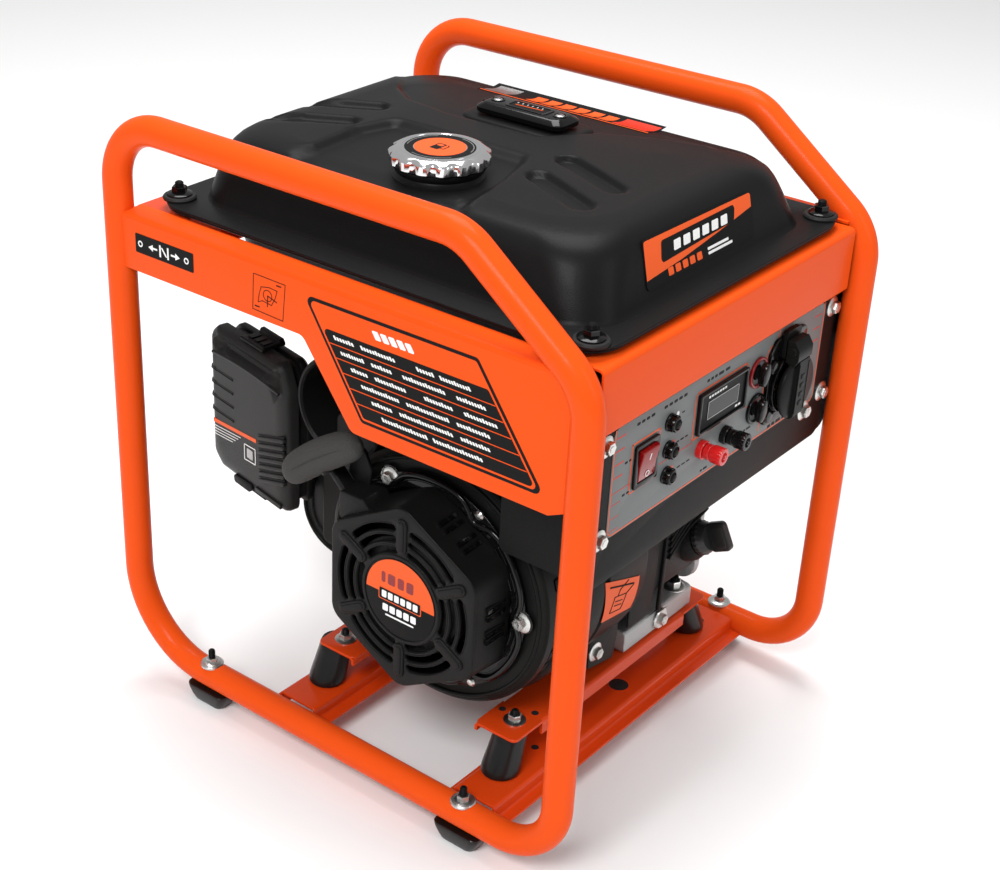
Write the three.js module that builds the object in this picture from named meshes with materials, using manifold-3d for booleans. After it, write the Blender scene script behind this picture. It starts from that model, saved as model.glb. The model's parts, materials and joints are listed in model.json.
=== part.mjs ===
// Portable open-frame inverter generator, built as separate named pieces.
// Millimetres, +Z up. +X is the control-panel end, -Y the recoil-starter side.
// The origin is on the ground, under the middle of the frame.
import * as THREE from 'three';
import { mergeVertices } from 'three/addons/utils/BufferGeometryUtils.js';
import Module from 'manifold-3d';

const wasm = await Module();
wasm.setup();

// ---------- driving dimensions ----------
const LENGTH = 436;
const WIDTH = 370;
const HEIGHT = 475;
const TUBE_R = 11;
const GAP = 0.3;
const SHEET = 1.8;

const HOOP_X = LENGTH / 2 - TUBE_R;
const HOOP_Y = WIDTH / 2 - TUBE_R;
const HOOP_TOP = HEIGHT - TUBE_R;
const HOOP_LOW = 25.2;
const CHAMFER_X = 106.6;
const CHAMFER_Z = 388.7;

const PANEL_Y = 180;
const PANEL_TOP = 399;
const PANEL_LOW = 356.5;
const PANEL_DEEP = 298.5;
const RAIL_TOP = 397;
const RAIL_FACE = 205.5;

const CROSS_TOP = 33;
const FRONT_MOUNT_X = 128;
const REAR_MOUNT_X = -43;
const BEARER_TOP = 68;

const TANK_FLANGE_Z = 402;
const TANK_TOP = 452;
const CAP = { x: 4, y: -70, r: 35.4, z: 457, h: 10.5 };

const BOX_FACE = 198;
const BOX_Y = [-145, 160];
const BOX_Z = [229, 343];

const CRANK = { x: 57, z: 172 };
const DRUM_R = 103;
const DRUM_FRONT = -127;
const RECOIL_BACK = -126;
const RECOIL_FACE = -165;
const CYLINDER_Y = 55;
const CYLINDER_TILT = THREE.MathUtils.degToRad(65);
const BORE_R = 35.1;
const STROKE = 54;

const FILTER_YAW = THREE.MathUtils.degToRad(-12.6);
const FILTER_X = -143.5;
const FILTER_Y = -110.5;
const FILTER = { low: 160, high: 284, depth: 22 };
const INTAKE = { x: -97, z: 244 };

const CAM_DROP = 48;
const TIMING_R = 16;
const DUCT = { x: -44, z: 268 };
const SHOULDER = 196;
const PULLEY_R = 40;
const GRIP = { x: -28, y: -155, z: 252, tilt: THREE.MathUtils.degToRad(36) };
const OIL = { x: 135, y: 101, z: 134, tilt: THREE.MathUtils.degToRad(26) };

// ---------- finishes ----------
const FINISH = {
  orange: { color: 0xf0561e, roughness: 0.38, metalness: 0.1 },
  black_metal: { color: 0x1b1b1a, roughness: 0.45, metalness: 0.3 },
  black_plastic: { color: 0x1f1f1e, roughness: 0.55, metalness: 0 },
  gloss_black: { color: 0x0c0c0c, roughness: 0.2, metalness: 0 },
  rubber: { color: 0x161616, roughness: 0.85, metalness: 0 },
  aluminium: { color: 0xb9bbbb, roughness: 0.4, metalness: 0.9 },
  polished: { color: 0xd5d6d6, roughness: 0.18, metalness: 1 },
  steel: { color: 0x8f9192, roughness: 0.35, metalness: 0.9 },
  copper: { color: 0xa35a2a, roughness: 0.4, metalness: 0.8 },
  grey: { color: 0x8d9090, roughness: 0.5, metalness: 0.1 },
  red: { color: 0xc0181a, roughness: 0.25, metalness: 0 },
  foam: { color: 0x4a4a44, roughness: 0.95, metalness: 0 },
  ceramic: { color: 0xe8e4da, roughness: 0.3, metalness: 0 },
};

const group = new THREE.Group();

function addPiece(name, finish, geometry) {
  const material = new THREE.MeshStandardMaterial(FINISH[finish]);
  const mesh = new THREE.Mesh(geometry, material);
  mesh.name = name;
  group.add(mesh);
  return mesh;
}

// ---------- solids ----------
function toManifold(geometry) {
  const bare = geometry.clone();
  bare.deleteAttribute('normal');
  bare.deleteAttribute('uv');
  const merged = mergeVertices(bare, 1e-4);
  const mesh = new wasm.Mesh({
    numProp: 3,
    vertProperties: new Float32Array(merged.attributes.position.array),
    triVerts: new Uint32Array(merged.index.array),
  });
  return new wasm.Manifold(mesh);
}

function fromManifold(manifold) {
  const mesh = manifold.getMesh();
  const geometry = new THREE.BufferGeometry();
  geometry.setAttribute('position', new THREE.BufferAttribute(mesh.vertProperties, 3));
  geometry.setIndex(new THREE.BufferAttribute(mesh.triVerts, 1));
  geometry.computeVertexNormals();
  return geometry;
}

// Joins the added geometries into the first one, then cuts the removed ones from it.
function carve(base, { add = [], cut = [] } = {}) {
  let body = toManifold(base);
  for (const extra of add) {
    body = body.add(toManifold(extra));
  }
  for (const tool of cut) {
    body = body.subtract(toManifold(tool));
  }
  return fromManifold(body);
}

// Keeps only the biggest of the loose pieces that a cut has left.
function largest(geometry) {
  const pieces = toManifold(geometry).decompose();
  pieces.sort((a, b) => b.volume() - a.volume());
  return fromManifold(pieces[0]);
}

function block(x, y, z) {
  const box = new THREE.BoxGeometry(x[1] - x[0], y[1] - y[0], z[1] - z[0]);
  return box.translate((x[0] + x[1]) / 2, (y[0] + y[1]) / 2, (z[0] + z[1]) / 2);
}

// An outline through the corners [x, y, radius], with each corner rounded by an arc.
function rounded(corners, steps = 4) {
  const points = [];
  corners.forEach(([x, y, radius = 0], i) => {
    const here = new THREE.Vector2(x, y);
    if (radius === 0) {
      points.push(here);
      return;
    }
    const [px, py] = corners[(i + corners.length - 1) % corners.length];
    const [nx, ny] = corners[(i + 1) % corners.length];
    const back = new THREE.Vector2(px, py).sub(here).normalize();
    const ahead = new THREE.Vector2(nx, ny).sub(here).normalize();
    const half = Math.acos(THREE.MathUtils.clamp(back.dot(ahead), -1, 1)) / 2;
    const middle = back.clone().add(ahead).normalize().multiplyScalar(radius / Math.sin(half));
    const centre = here.clone().add(middle);
    const start = here.clone().addScaledVector(back, radius / Math.tan(half)).sub(centre);
    const turn = Math.PI - 2 * half;
    const side = Math.sign(back.x * ahead.y - back.y * ahead.x);
    for (let k = 0; k <= steps; k += 1) {
      const angle = (-side * turn * k) / steps;
      points.push(start.clone().rotateAround(new THREE.Vector2(), angle).add(centre));
    }
  });
  return points;
}

function roundedRect(x, y, radius, steps = 4) {
  const corners = [
    [x[0], y[0], radius],
    [x[1], y[0], radius],
    [x[1], y[1], radius],
    [x[0], y[1], radius],
  ];
  return rounded(corners, steps);
}

// A flat outline in XY, pulled up from z0 to z1.
function plate(outline, z0, z1, holes = []) {
  const shape = new THREE.Shape(outline);
  shape.holes = holes.map((hole) => new THREE.Path(hole));
  const solid = new THREE.ExtrudeGeometry(shape, { depth: z1 - z0, bevelEnabled: false });
  return solid.translate(0, 0, z0);
}

// An outline in XZ, pulled along Y from y0 to y1.
function slabY(outline, y0, y1, holes = []) {
  return plate(outline, -y1, -y0, holes).rotateX(Math.PI / 2);
}

// An outline in YZ, pulled along X from x0 to x1.
function slabX(outline, x0, x1, holes = []) {
  const solid = plate(outline, x0, x1, holes);
  const swap = new THREE.Matrix4().set(0, 0, 1, 0, 1, 0, 0, 0, 0, 1, 0, 0, 0, 0, 0, 1);
  return solid.applyMatrix4(swap);
}

function circle(x, y, radius, sides = 24) {
  const points = [];
  for (let k = 0; k < sides; k += 1) {
    const angle = (2 * Math.PI * k) / sides;
    points.push(new THREE.Vector2(x + radius * Math.cos(angle), y + radius * Math.sin(angle)));
  }
  return points;
}

// A cylinder along Z between two heights; its two ends may differ in radius.
function post(x, y, z, r0, r1 = r0, sides = 20) {
  const solid = new THREE.CylinderGeometry(r1, r0, z[1] - z[0], sides);
  return solid.rotateX(Math.PI / 2).translate(x, y, (z[0] + z[1]) / 2);
}

function postY(x, z, y, r0, r1 = r0, sides = 24) {
  const solid = new THREE.CylinderGeometry(r1, r0, y[1] - y[0], sides);
  return solid.translate(x, (y[0] + y[1]) / 2, z);
}

function postX(y, z, x, r0, r1 = r0, sides = 20) {
  const solid = new THREE.CylinderGeometry(r1, r0, x[1] - x[0], sides);
  return solid.rotateZ(-Math.PI / 2).translate((x[0] + x[1]) / 2, y, z);
}

// A solid through a stack of sections with the same number of corners in each.
function loft(sections) {
  const count = sections[0].length;
  const positions = sections.flat().flatMap((p) => [p.x, p.y, p.z]);
  const index = [];
  for (let s = 0; s + 1 < sections.length; s += 1) {
    for (let k = 0; k < count; k += 1) {
      const a = s * count + k;
      const b = s * count + ((k + 1) % count);
      index.push(a, b, b + count, a, b + count, a + count);
    }
  }
  const last = (sections.length - 1) * count;
  for (let k = 1; k + 1 < count; k += 1) {
    index.push(0, k + 1, k);
    index.push(last, last + k, last + k + 1);
  }
  const geometry = new THREE.BufferGeometry();
  geometry.setAttribute('position', new THREE.Float32BufferAttribute(positions, 3));
  geometry.setIndex(index);
  geometry.computeVertexNormals();
  return geometry;
}

function level(outline, z) {
  return outline.map((p) => new THREE.Vector3(p.x, p.y, z));
}

// A closed ring of tube that follows a flat XZ outline at one Y.
function hoopTube(outline, y, radius, sides = 12) {
  const count = outline.length;
  const positions = [];
  const index = [];
  outline.forEach((here, i) => {
    const before = outline[(i + count - 1) % count];
    const after = outline[(i + 1) % count];
    const back = here.clone().sub(before).normalize();
    const ahead = after.clone().sub(here).normalize();
    const along = back.clone().add(ahead).normalize();
    const stretch = radius / along.dot(ahead);
    for (let k = 0; k < sides; k += 1) {
      const angle = (2 * Math.PI * k) / sides;
      const out = stretch * Math.cos(angle);
      positions.push(here.x + along.y * out, y + radius * Math.sin(angle), here.y - along.x * out);
    }
  });
  for (let i = 0; i < count; i += 1) {
    for (let k = 0; k < sides; k += 1) {
      const a = i * sides + k;
      const b = i * sides + ((k + 1) % sides);
      const c = ((i + 1) % count) * sides + k;
      const d = ((i + 1) % count) * sides + ((k + 1) % sides);
      index.push(a, b, d, a, d, c);
    }
  }
  const geometry = new THREE.BufferGeometry();
  geometry.setAttribute('position', new THREE.Float32BufferAttribute(positions, 3));
  geometry.setIndex(index);
  geometry.computeVertexNormals();
  return geometry;
}

function mirrorY(geometry) {
  const flipped = geometry.clone().scale(1, -1, 1);
  const index = flipped.index.array;
  for (let k = 0; k < index.length; k += 3) {
    const keep = index[k];
    index[k] = index[k + 1];
    index[k + 1] = keep;
  }
  flipped.computeVertexNormals();
  return flipped;
}

// ---------- frame ----------
const hoopOutline = rounded([
  [-HOOP_X, HOOP_LOW, 72],
  [HOOP_X, HOOP_LOW, 47],
  [HOOP_X, CHAMFER_Z, 45],
  [CHAMFER_X, HOOP_TOP, 45],
  [-HOOP_X, HOOP_TOP, 45],
], 5);

function hoop(y, radius = TUBE_R) {
  return hoopTube(hoopOutline, y, radius);
}

// Side sheet with a deep part for the rating plate and a flange folded inwards along its top.
function sidePanel() {
  const outline = rounded([
    [-HOOP_X, PANEL_TOP],
    [-HOOP_X, PANEL_LOW],
    [-22, PANEL_LOW, 8],
    [22.5, PANEL_DEEP, 8],
    [186, PANEL_DEEP],
    [HOOP_X, PANEL_DEEP + 10],
    [HOOP_X, PANEL_TOP],
  ]);
  const face = slabY(outline, -PANEL_Y, -PANEL_Y + SHEET);
  const flange = block([-HOOP_X, HOOP_X], [-PANEL_Y, -PANEL_Y + 20], [PANEL_TOP - SHEET, PANEL_TOP]);
  return largest(carve(face, { add: [flange], cut: [hoop(-HOOP_Y, TUBE_R + GAP)] }));
}

// End rail: upright face, flange folded in under the tank, and a lip folded in below.
function endRail(side) {
  const half = HOOP_Y - TUBE_R - GAP - 4;
  const section = [
    [RAIL_FACE, RAIL_TOP],
    [155, RAIL_TOP],
    [155, RAIL_TOP - SHEET],
    [RAIL_FACE - SHEET, RAIL_TOP - SHEET],
    [RAIL_FACE - SHEET, 352],
    [195, 345.5],
    [196, 343.8],
    [RAIL_FACE, 350],
  ].map(([x, z]) => new THREE.Vector2(side * x, z));
  return slabY(section, -half, half);
}

// Hat-section member across the foot of the frame, between the two bottom tubes.
function crossMember(x0, x1) {
  const half = HOOP_Y - TUBE_R - GAP;
  const low = 19.5;
  const lip = 9;
  const section = [
    [x0, CROSS_TOP],
    [x0, low + SHEET],
    [x0 - lip, low + SHEET],
    [x0 - lip, low],
    [x0 + SHEET, low],
    [x0 + SHEET, CROSS_TOP - SHEET],
    [x1 - SHEET, CROSS_TOP - SHEET],
    [x1 - SHEET, low],
    [x1 + lip, low],
    [x1 + lip, low + SHEET],
    [x1, low + SHEET],
    [x1, CROSS_TOP],
  ].map(([x, z]) => new THREE.Vector2(x, z));
  return slabY(section, -half, half);
}

// Inverted channel that the engine stands on, carried by two rubber mounts.
function bearer(x0, x1, flange, lipX) {
  const half = 130;
  const top = block([x0, x1], [-half, half], [BEARER_TOP - 2.4, BEARER_TOP]);
  const sideA = block([x0, x0 + 2.4], [-half + 34, half - 34], [BEARER_TOP - flange, BEARER_TOP]);
  const sideB = block([x1 - 2.4, x1], [-half + 34, half - 34], [BEARER_TOP - flange, BEARER_TOP]);
  const lip = block([lipX, lipX + 2.4], [-half, half], [BEARER_TOP - 6, BEARER_TOP]);
  return carve(top, { add: [sideA, sideB, lip] });
}

// Leaning rubber mount between a cross member and a bearer.
function rubberMount(side, x) {
  const low = CROSS_TOP + GAP;
  const high = BEARER_TOP - 2.4 - GAP;
  const ring = (y, r, z) => level(circle(x, side * y, r, 16), z);
  return loft([
    ring(127, 12.5, low), ring(124, 13.5, low + 9), ring(118, 13.5, high - 9), ring(115, 12.5, high),
  ]);
}

// Tapered rubber foot, bolted up through the bottom tube.
function foot(x, y) {
  const under = HOOP_LOW - TUBE_R - GAP;
  const section = (half, z) => {
    const deep = half * 0.55;
    return level(roundedRect([x - half, x + half], [y - deep, y + deep], 6, 2), z);
  };
  return loft([section(15, 0), section(20, under - 3), section(20, under)]);
}

addPiece('hoop_near', 'orange', hoop(-HOOP_Y));
addPiece('hoop_far', 'orange', hoop(HOOP_Y));
addPiece('side_panel_near', 'orange', sidePanel());
addPiece('side_panel_far', 'orange', mirrorY(sidePanel()));
addPiece('rail_front', 'orange', endRail(1));
addPiece('rail_rear', 'orange', endRail(-1));
addPiece('cross_member_front', 'orange', crossMember(109.6, 147));
addPiece('cross_member_rear', 'orange', crossMember(-64, -27));
addPiece('bearer_front', 'orange', bearer(101, 138, 12, 101));
addPiece('bearer_rear', 'orange', bearer(-54, -17, 12, -19.4));
for (const [end, x] of [['front', 127], ['rear', -127]]) {
  for (const [side, y] of [['near', -HOOP_Y], ['far', HOOP_Y]]) {
    addPiece(`foot_${end}_${side}`, 'rubber', foot(x, y));
  }
}
for (const [end, x] of [['front', FRONT_MOUNT_X], ['rear', REAR_MOUNT_X]]) {
  for (const [side, sign] of [['near', -1], ['far', 1]]) {
    addPiece(`rubber_mount_${end}_${side}`, 'rubber', rubberMount(sign, x - 4));
  }
}

// ---------- fuel tank ----------
function tankSections(inset) {
  const ring = (x0, x1, y, r, z) => {
    const outline = roundedRect([x0 + inset, x1 - inset], [-y + inset, y - inset], r - inset);
    return level(outline, z);
  };
  return [
    ring(-172, 181, 137, 34, TANK_FLANGE_Z),
    ring(-170, 178, 134, 38, 420),
    ring(-168, 172, 126, 42, 438),
    ring(-163, 165, 117, 44, 447 - inset * 0.5),
    ring(-150, 152, 102, 44, TANK_TOP - inset),
  ];
}

function tankShell() {
  const flange = plate(roundedRect([-190, 199], [-160, 160], 30), TANK_FLANGE_Z, TANK_FLANGE_Z + 2.4);
  const hollow = tankSections(2.2);
  hollow[0] = hollow[0].map((p) => new THREE.Vector3(p.x, p.y, TANK_FLANGE_Z - 2));
  const neck = post(CAP.x, CAP.y, [TANK_TOP - 6, CAP.z - GAP], 31, 30, 28);
  const gaugePad = plate(roundedRect([-62, 32], [34, 76], 14), TANK_TOP - 4, TANK_TOP + 1.5);
  const mouth = post(CAP.x, CAP.y, [TANK_TOP - 20, HEIGHT], 24, 24, 28);
  return carve(loft(tankSections(0)), { add: [flange, neck, gaugePad], cut: [loft(hollow), mouth] });
}

function tankFloor() {
  const top = TANK_FLANGE_Z - GAP;
  const outer = (inset, z) => {
    const x = [-150 + inset, 146 - inset];
    const y = [-128 + inset, 128 - inset];
    return level(roundedRect(x, y, 30), z);
  };
  const rim = plate(roundedRect([-152, 153], [-134, 134], 32), top - 2, top);
  const pan = loft([outer(14, 366), outer(4, 374), outer(0, top)]);
  const hollow = loft([outer(16, 368), outer(6, 376), outer(2, top + 1)]);
  return carve(pan, { add: [rim], cut: [hollow] });
}

function fuelCap() {
  const lobes = 14;
  const outline = [];
  for (let k = 0; k < lobes * 4; k += 1) {
    const angle = (2 * Math.PI * k) / (lobes * 4);
    const dip = k % 4 === 2 ? 1.8 : 0;
    const r = CAP.r - dip;
    outline.push(new THREE.Vector2(CAP.x + r * Math.cos(angle), CAP.y + r * Math.sin(angle)));
  }
  const shrink = (factor, z) => outline.map((p) => new THREE.Vector3(
    CAP.x + (p.x - CAP.x) * factor, CAP.y + (p.y - CAP.y) * factor, z,
  ));
  const top = CAP.z + CAP.h;
  return loft([shrink(0.95, CAP.z), shrink(1, CAP.z + 2), shrink(1, top - 3), shrink(0.86, top)]);
}

// Sealing plug under the cap: a flanged cup that fills the mouth of the neck.
function capGasket() {
  const rim = post(CAP.x, CAP.y, [CAP.z - GAP - 3, CAP.z - GAP], 23.6, 23.6, 28);
  const cup = post(CAP.x, CAP.y, [CAP.z - 15, CAP.z - GAP - 3], 19, 19, 28);
  return carve(rim, { add: [cup] });
}

function fuelGauge() {
  const z = TANK_TOP + 1.5 + GAP;
  const outline = roundedRect([-54, 24], [40, 70], 8);
  const crown = roundedRect([-50, 20], [44, 66], 6);
  return loft([level(outline, z), level(outline, z + 4.5), level(crown, z + 8)]);
}

// Shut-off valve under the tank, with its outlet stub.
function fuelValve() {
  const body = block([-132, -108], [-112, -90], [338, 352]);
  const neck = post(-120, -101, [350, 366 - GAP], 7, 7, 16);
  const stub = post(-120, -101, [324, 340], 3.5, 3.5, 12);
  return carve(body, { add: [neck, stub] });
}

function fuelValveLever() {
  const hub = postY(-120, 345, [-120, -112 - GAP], 6, 6, 16);
  const arm = block([-144, -120], [-119, -115], [341.5, 348.5]);
  return carve(hub, { add: [arm] });
}

addPiece('tank_shell', 'black_plastic', tankShell());
addPiece('tank_floor', 'black_plastic', tankFloor());
addPiece('cap_gasket', 'rubber', capGasket());
addPiece('fuel_cap', 'polished', fuelCap());
addPiece('fuel_gauge', 'gloss_black', fuelGauge());
addPiece('fuel_valve', 'aluminium', fuelValve());
addPiece('fuel_valve_lever', 'red', fuelValveLever());

// ---------- control box ----------
const SWITCH = { y: -88, z: 304 };
const LAMPS = [[-63, 323.5], [-62.6, 303], [-62.2, 283.5]];
const METER = { y: 2, z: 315.5 };
const BREAKERS = { upper: [50, 319], lower: [52, 290] };
const DC_POSTS = { red: [-19, 286], black: [12, 285] };
const SOCKET = { y: [65, 115], z: [270, 338] };
const FACE_IN = BOX_FACE - 2;

// Folded tray of the control box, open to the front where the panel closes it.
function controlBox() {
  const outer = [
    [FACE_IN - GAP, BOX_Z[0]],
    [FACE_IN - GAP, BOX_Z[1]],
    [122, BOX_Z[1]],
    [122, 292],
    [168, 262],
    [168, BOX_Z[0]],
  ].map(([x, z]) => new THREE.Vector2(x, z));
  const inner = [
    [FACE_IN + 1, BOX_Z[0] + SHEET],
    [FACE_IN + 1, BOX_Z[1] - SHEET],
    [122 + SHEET, BOX_Z[1] - SHEET],
    [122 + SHEET, 293],
    [168 + SHEET, 263],
    [168 + SHEET, BOX_Z[0] + SHEET],
  ].map(([x, z]) => new THREE.Vector2(x, z));
  const tray = slabY(outer, BOX_Y[0] + 4, BOX_Y[1] - 4);
  return carve(tray, { cut: [slabY(inner, BOX_Y[0] + 4 + SHEET, BOX_Y[1] - 4 - SHEET)] });
}

// Front plate with cut-outs for the instruments, and the collars fixed to it.
function controlPanel() {
  const outline = roundedRect(BOX_Y, BOX_Z, 3, 2);
  const holes = [
    roundedRect([SWITCH.y - 13, SWITCH.y + 13], [SWITCH.z - 16, SWITCH.z + 16], 1, 1),
    roundedRect([METER.y - 29, METER.y + 29], [METER.z - 12, METER.z + 12], 1, 1),
    roundedRect([SOCKET.y[0] + 3, SOCKET.y[1] - 3], [SOCKET.z[0] + 3, SOCKET.z[1] - 8], 1, 1),
  ];
  const rings = Object.values(BREAKERS).map(([y, z]) => postX(y, z, [BOX_FACE - 1, BOX_FACE + 5], 13));
  const lamps = LAMPS.map(([y, z]) => postX(y, z, [BOX_FACE - 1, BOX_FACE + 6], 6.5, 5.5, 12));
  const studs = Object.values(DC_POSTS).map(([y, z]) => postX(y, z, [BOX_FACE - 1, BOX_FACE + 5], 8, 8, 12));
  const bores = Object.values(BREAKERS).map(([y, z]) => postX(y, z, [FACE_IN - 4, BOX_FACE + 6], 9));
  return carve(slabX(outline, FACE_IN, BOX_FACE, holes), { add: [...rings, ...lamps, ...studs], cut: bores });
}

function switchBezel() {
  const y = [SWITCH.y - 15, SWITCH.y + 15];
  const z = [SWITCH.z - 18, SWITCH.z + 18];
  const collar = slabX(roundedRect(y, z, 2, 2), BOX_FACE + GAP, BOX_FACE + 4);
  const about = (middle, half) => [middle - half, middle + half];
  const body = block([BOX_FACE - 22, BOX_FACE + 1], about(SWITCH.y, 12.4), about(SWITCH.z, 15.4));
  const well = block([BOX_FACE - 12, BOX_FACE + 5], about(SWITCH.y, 10), about(SWITCH.z, 13));
  return carve(collar, { add: [body], cut: [well] });
}

// Two-position rocker: its face has two slopes that meet at the pivot.
function switchRocker() {
  const x = BOX_FACE;
  const section = [
    [x - 6, SWITCH.z - 9],
    [x + 4.5, SWITCH.z - 11],
    [x + 2.5, SWITCH.z],
    [x + 7, SWITCH.z + 11],
    [x - 6, SWITCH.z + 9],
  ].map(([px, pz]) => new THREE.Vector2(px, pz));
  return slabY(section, SWITCH.y - 9.5, SWITCH.y + 9.5);
}

function meter() {
  const about = (middle, half) => [middle - half, middle + half];
  const rim = roundedRect(about(METER.y, 31), about(METER.z, 14), 2, 2);
  const bezel = slabX(rim, BOX_FACE + GAP, BOX_FACE + 3.5);
  const body = block([BOX_FACE - 16, BOX_FACE + 1], about(METER.y, 28.4), about(METER.z, 11.4));
  const window = block([BOX_FACE + 2.2, BOX_FACE + 5], about(METER.y, 24), about(METER.z, 8));
  return carve(bezel, { add: [body], cut: [window] });
}

// Earthed socket: square housing with a round well for the plug.
function socketBody() {
  const y = (SOCKET.y[0] + SOCKET.y[1]) / 2;
  const z = SOCKET.z[0] + 27;
  const housing = slabX(roundedRect(SOCKET.y, SOCKET.z, 4, 2), BOX_FACE + GAP, BOX_FACE + 6);
  const back = block(
    [BOX_FACE - 24, BOX_FACE + 1],
    [SOCKET.y[0] + 4, SOCKET.y[1] - 4],
    [SOCKET.z[0] + 4, SOCKET.z[1] - 9],
  );
  const well = postX(y, z, [BOX_FACE - 15, BOX_FACE + 7], 19.5);
  const pins = [-9.5, 9.5].map((off) => postX(y + off, z, [BOX_FACE - 22, BOX_FACE - 14], 2.6, 2.6, 10));
  return carve(housing, { add: [back], cut: [well, ...pins] });
}

// Spring flap over the socket, hinged along its top edge.
function socketLid() {
  const x0 = BOX_FACE + 6 + GAP;
  const middle = (SOCKET.y[0] + SOCKET.y[1]) / 2;
  const y = [SOCKET.y[0] + 2, SOCKET.y[1] - 2];
  const z = [SOCKET.z[0] + 2, SOCKET.z[1] - 2];
  const flap = slabX(roundedRect(y, z, 5, 2), x0, x0 + 4);
  const dome = postX(middle, SOCKET.z[0] + 27, [x0 + 3, x0 + 10], 20, 18);
  const ridge = block([x0 + 3, x0 + 13], [middle - 9, middle + 9], [SOCKET.z[0] + 2, SOCKET.z[1] - 4]);
  return carve(flap, { add: [dome, ridge] });
}

function breakerButton([y, z]) {
  return postX(y, z, [BOX_FACE - 8, BOX_FACE + 8], 8.6, 8.6, 20);
}

function dcPost([y, z]) {
  const collar = postX(y, z, [BOX_FACE + 5 + GAP, BOX_FACE + 12], 8, 8, 12);
  const grip = postX(y, z, [BOX_FACE + 11, BOX_FACE + 19.5], 6.5, 5.5, 12);
  return carve(collar, { add: [grip] });
}

// Finned power module that turns the alternator's current into mains current.
function inverterModule() {
  const slab = block([125, 158], [-120, 60], [298, 312]);
  const fins = [];
  for (let y = -117; y <= 57; y += 14.5) {
    fins.push(block([125, 158], [y, y + 3], [311, 334]));
  }
  return carve(slab, { add: fins });
}

addPiece('control_box', 'black_metal', controlBox());
addPiece('control_panel', 'grey', controlPanel());
addPiece('inverter_module', 'aluminium', inverterModule());
addPiece('switch_bezel', 'black_plastic', switchBezel());
addPiece('switch_rocker', 'red', switchRocker());
addPiece('meter', 'gloss_black', meter());
addPiece('socket_body', 'black_plastic', socketBody());
addPiece('socket_lid', 'black_plastic', socketLid());
addPiece('breaker_ac', 'black_plastic', breakerButton(BREAKERS.upper));
addPiece('breaker_dc', 'black_plastic', breakerButton(BREAKERS.lower));
addPiece('dc_post_red', 'red', dcPost(DC_POSTS.red));
addPiece('dc_post_black', 'gloss_black', dcPost(DC_POSTS.black));

// ---------- engine ----------
// Moves a solid built along +Z about the origin onto the tilted cylinder's axis.
function onCylinder(geometry) {
  return geometry.rotateY(-CYLINDER_TILT).translate(CRANK.x, CYLINDER_Y, CRANK.z);
}

// Leans a part drawn along the X axis upwards, onto the oil filler of the crankcase.
function onFiller(geometry) {
  return geometry.rotateY(-OIL.tilt).translate(OIL.x, OIL.y, OIL.z);
}

function crankcase() {
  const walls = slabY(roundedRect([-21, 135], [66, 240], 16), 3, 110);
  const foot = block([-50, 135], [14, 110], [BEARER_TOP + GAP, 87]);
  const barrel = onCylinder(plate(roundedRect([-44, 44], [-40, 40], 8, 2), 60, 150));
  const fins = [];
  for (let s = 98; s < 150; s += 12) {
    fins.push(onCylinder(plate(roundedRect([-56, 56], [-45, 45], 8, 2), s, s + 3)));
  }
  const below = block([-60, 150], [0, 120], [50, BEARER_TOP + GAP]);
  const cavity = slabY(roundedRect([-14, 128], [90, 233], 20), 10, 111);
  const bearing = postY(CRANK.x, CRANK.z, [0, 12], 15);
  const bore = onCylinder(post(0, 0, [0, 152], BORE_R, BORE_R, 32));
  const filler = onFiller(postX(0, 0, [-10, 7.5], 16, 14, 24));
  const coverSeat = block([100, OIL.x + GAP], [110, 120], [100, 170]);
  return carve(walls, {
    add: [foot, barrel, filler, ...fins],
    cut: [below, cavity, bearing, bore, coverSeat],
  });
}

function crankcaseCover() {
  const y = 110 + GAP;
  const wall = slabY(roundedRect([-21, 135], [88, 240], 16), y, y + 7);
  const boss = postY(CRANK.x, CRANK.z, [y, y + 14], 28);
  const bearing = postY(CRANK.x, CRANK.z, [y - 1, y + 9], 13);
  const camBoss = postY(CRANK.x, CRANK.z - 46, [y, y + 10], 14, 14, 16);
  return carve(wall, { add: [boss, camBoss], cut: [bearing] });
}

function cylinderHead() {
  const core = plate(roundedRect([-44, 44], [-42, 42], 8, 2), 150 + GAP, 190);
  const fins = [];
  for (let s = 156; s < 188; s += 10) {
    fins.push(plate(roundedRect([-55, 55], [-46, 46], 8, 2), s, s + 3));
  }
  const chamber = post(0, 0, [150, 160], 28, 20, 24);
  return onCylinder(carve(core, { add: fins, cut: [chamber] }));
}

function rockerCover() {
  const section = (half, y, s) => level(roundedRect([-half, half], [-y, y - 16], 12, 3), s);
  const flange = plate(roundedRect([-42, 42], [-40, 24], 12, 3), 190 + GAP, 194);
  const box = loft([section(38, 36, 193), section(37, 35, 208), section(30, 29, 213)]);
  return onCylinder(carve(flange, { add: [box] }));
}

function sparkPlug() {
  const boot = post(-14, 34, [190 + GAP, 222], 8.5, 7, 16);
  const lead = post(-14, 34, [221, 228], 4, 4, 10);
  return onCylinder(carve(boot, { add: [lead] }));
}

// Crankshaft with its throw at top dead centre, towards the cylinder head.
function crankshaft() {
  const front = postY(0, 0, [-172, -13], 10, 10, 20);
  const journal = postY(0, 0, [-58, -13], 14, 14, 20);
  const tail = postY(0, 0, [13, 62], 12, 12, 20);
  const gear = postY(0, 0, [33, 42], TIMING_R, TIMING_R, 24);
  const throwPin = postY(0, STROKE / 2, [-14, 14], 10, 10, 20);
  const web = roundedRect([-24, 24], [-38, 38], 18, 3);
  const webs = [slabY(web, -24, -13), slabY(web, 13, 24)];
  return onCylinder(carve(front, { add: [journal, tail, gear, throwPin, ...webs] }));
}

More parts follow.
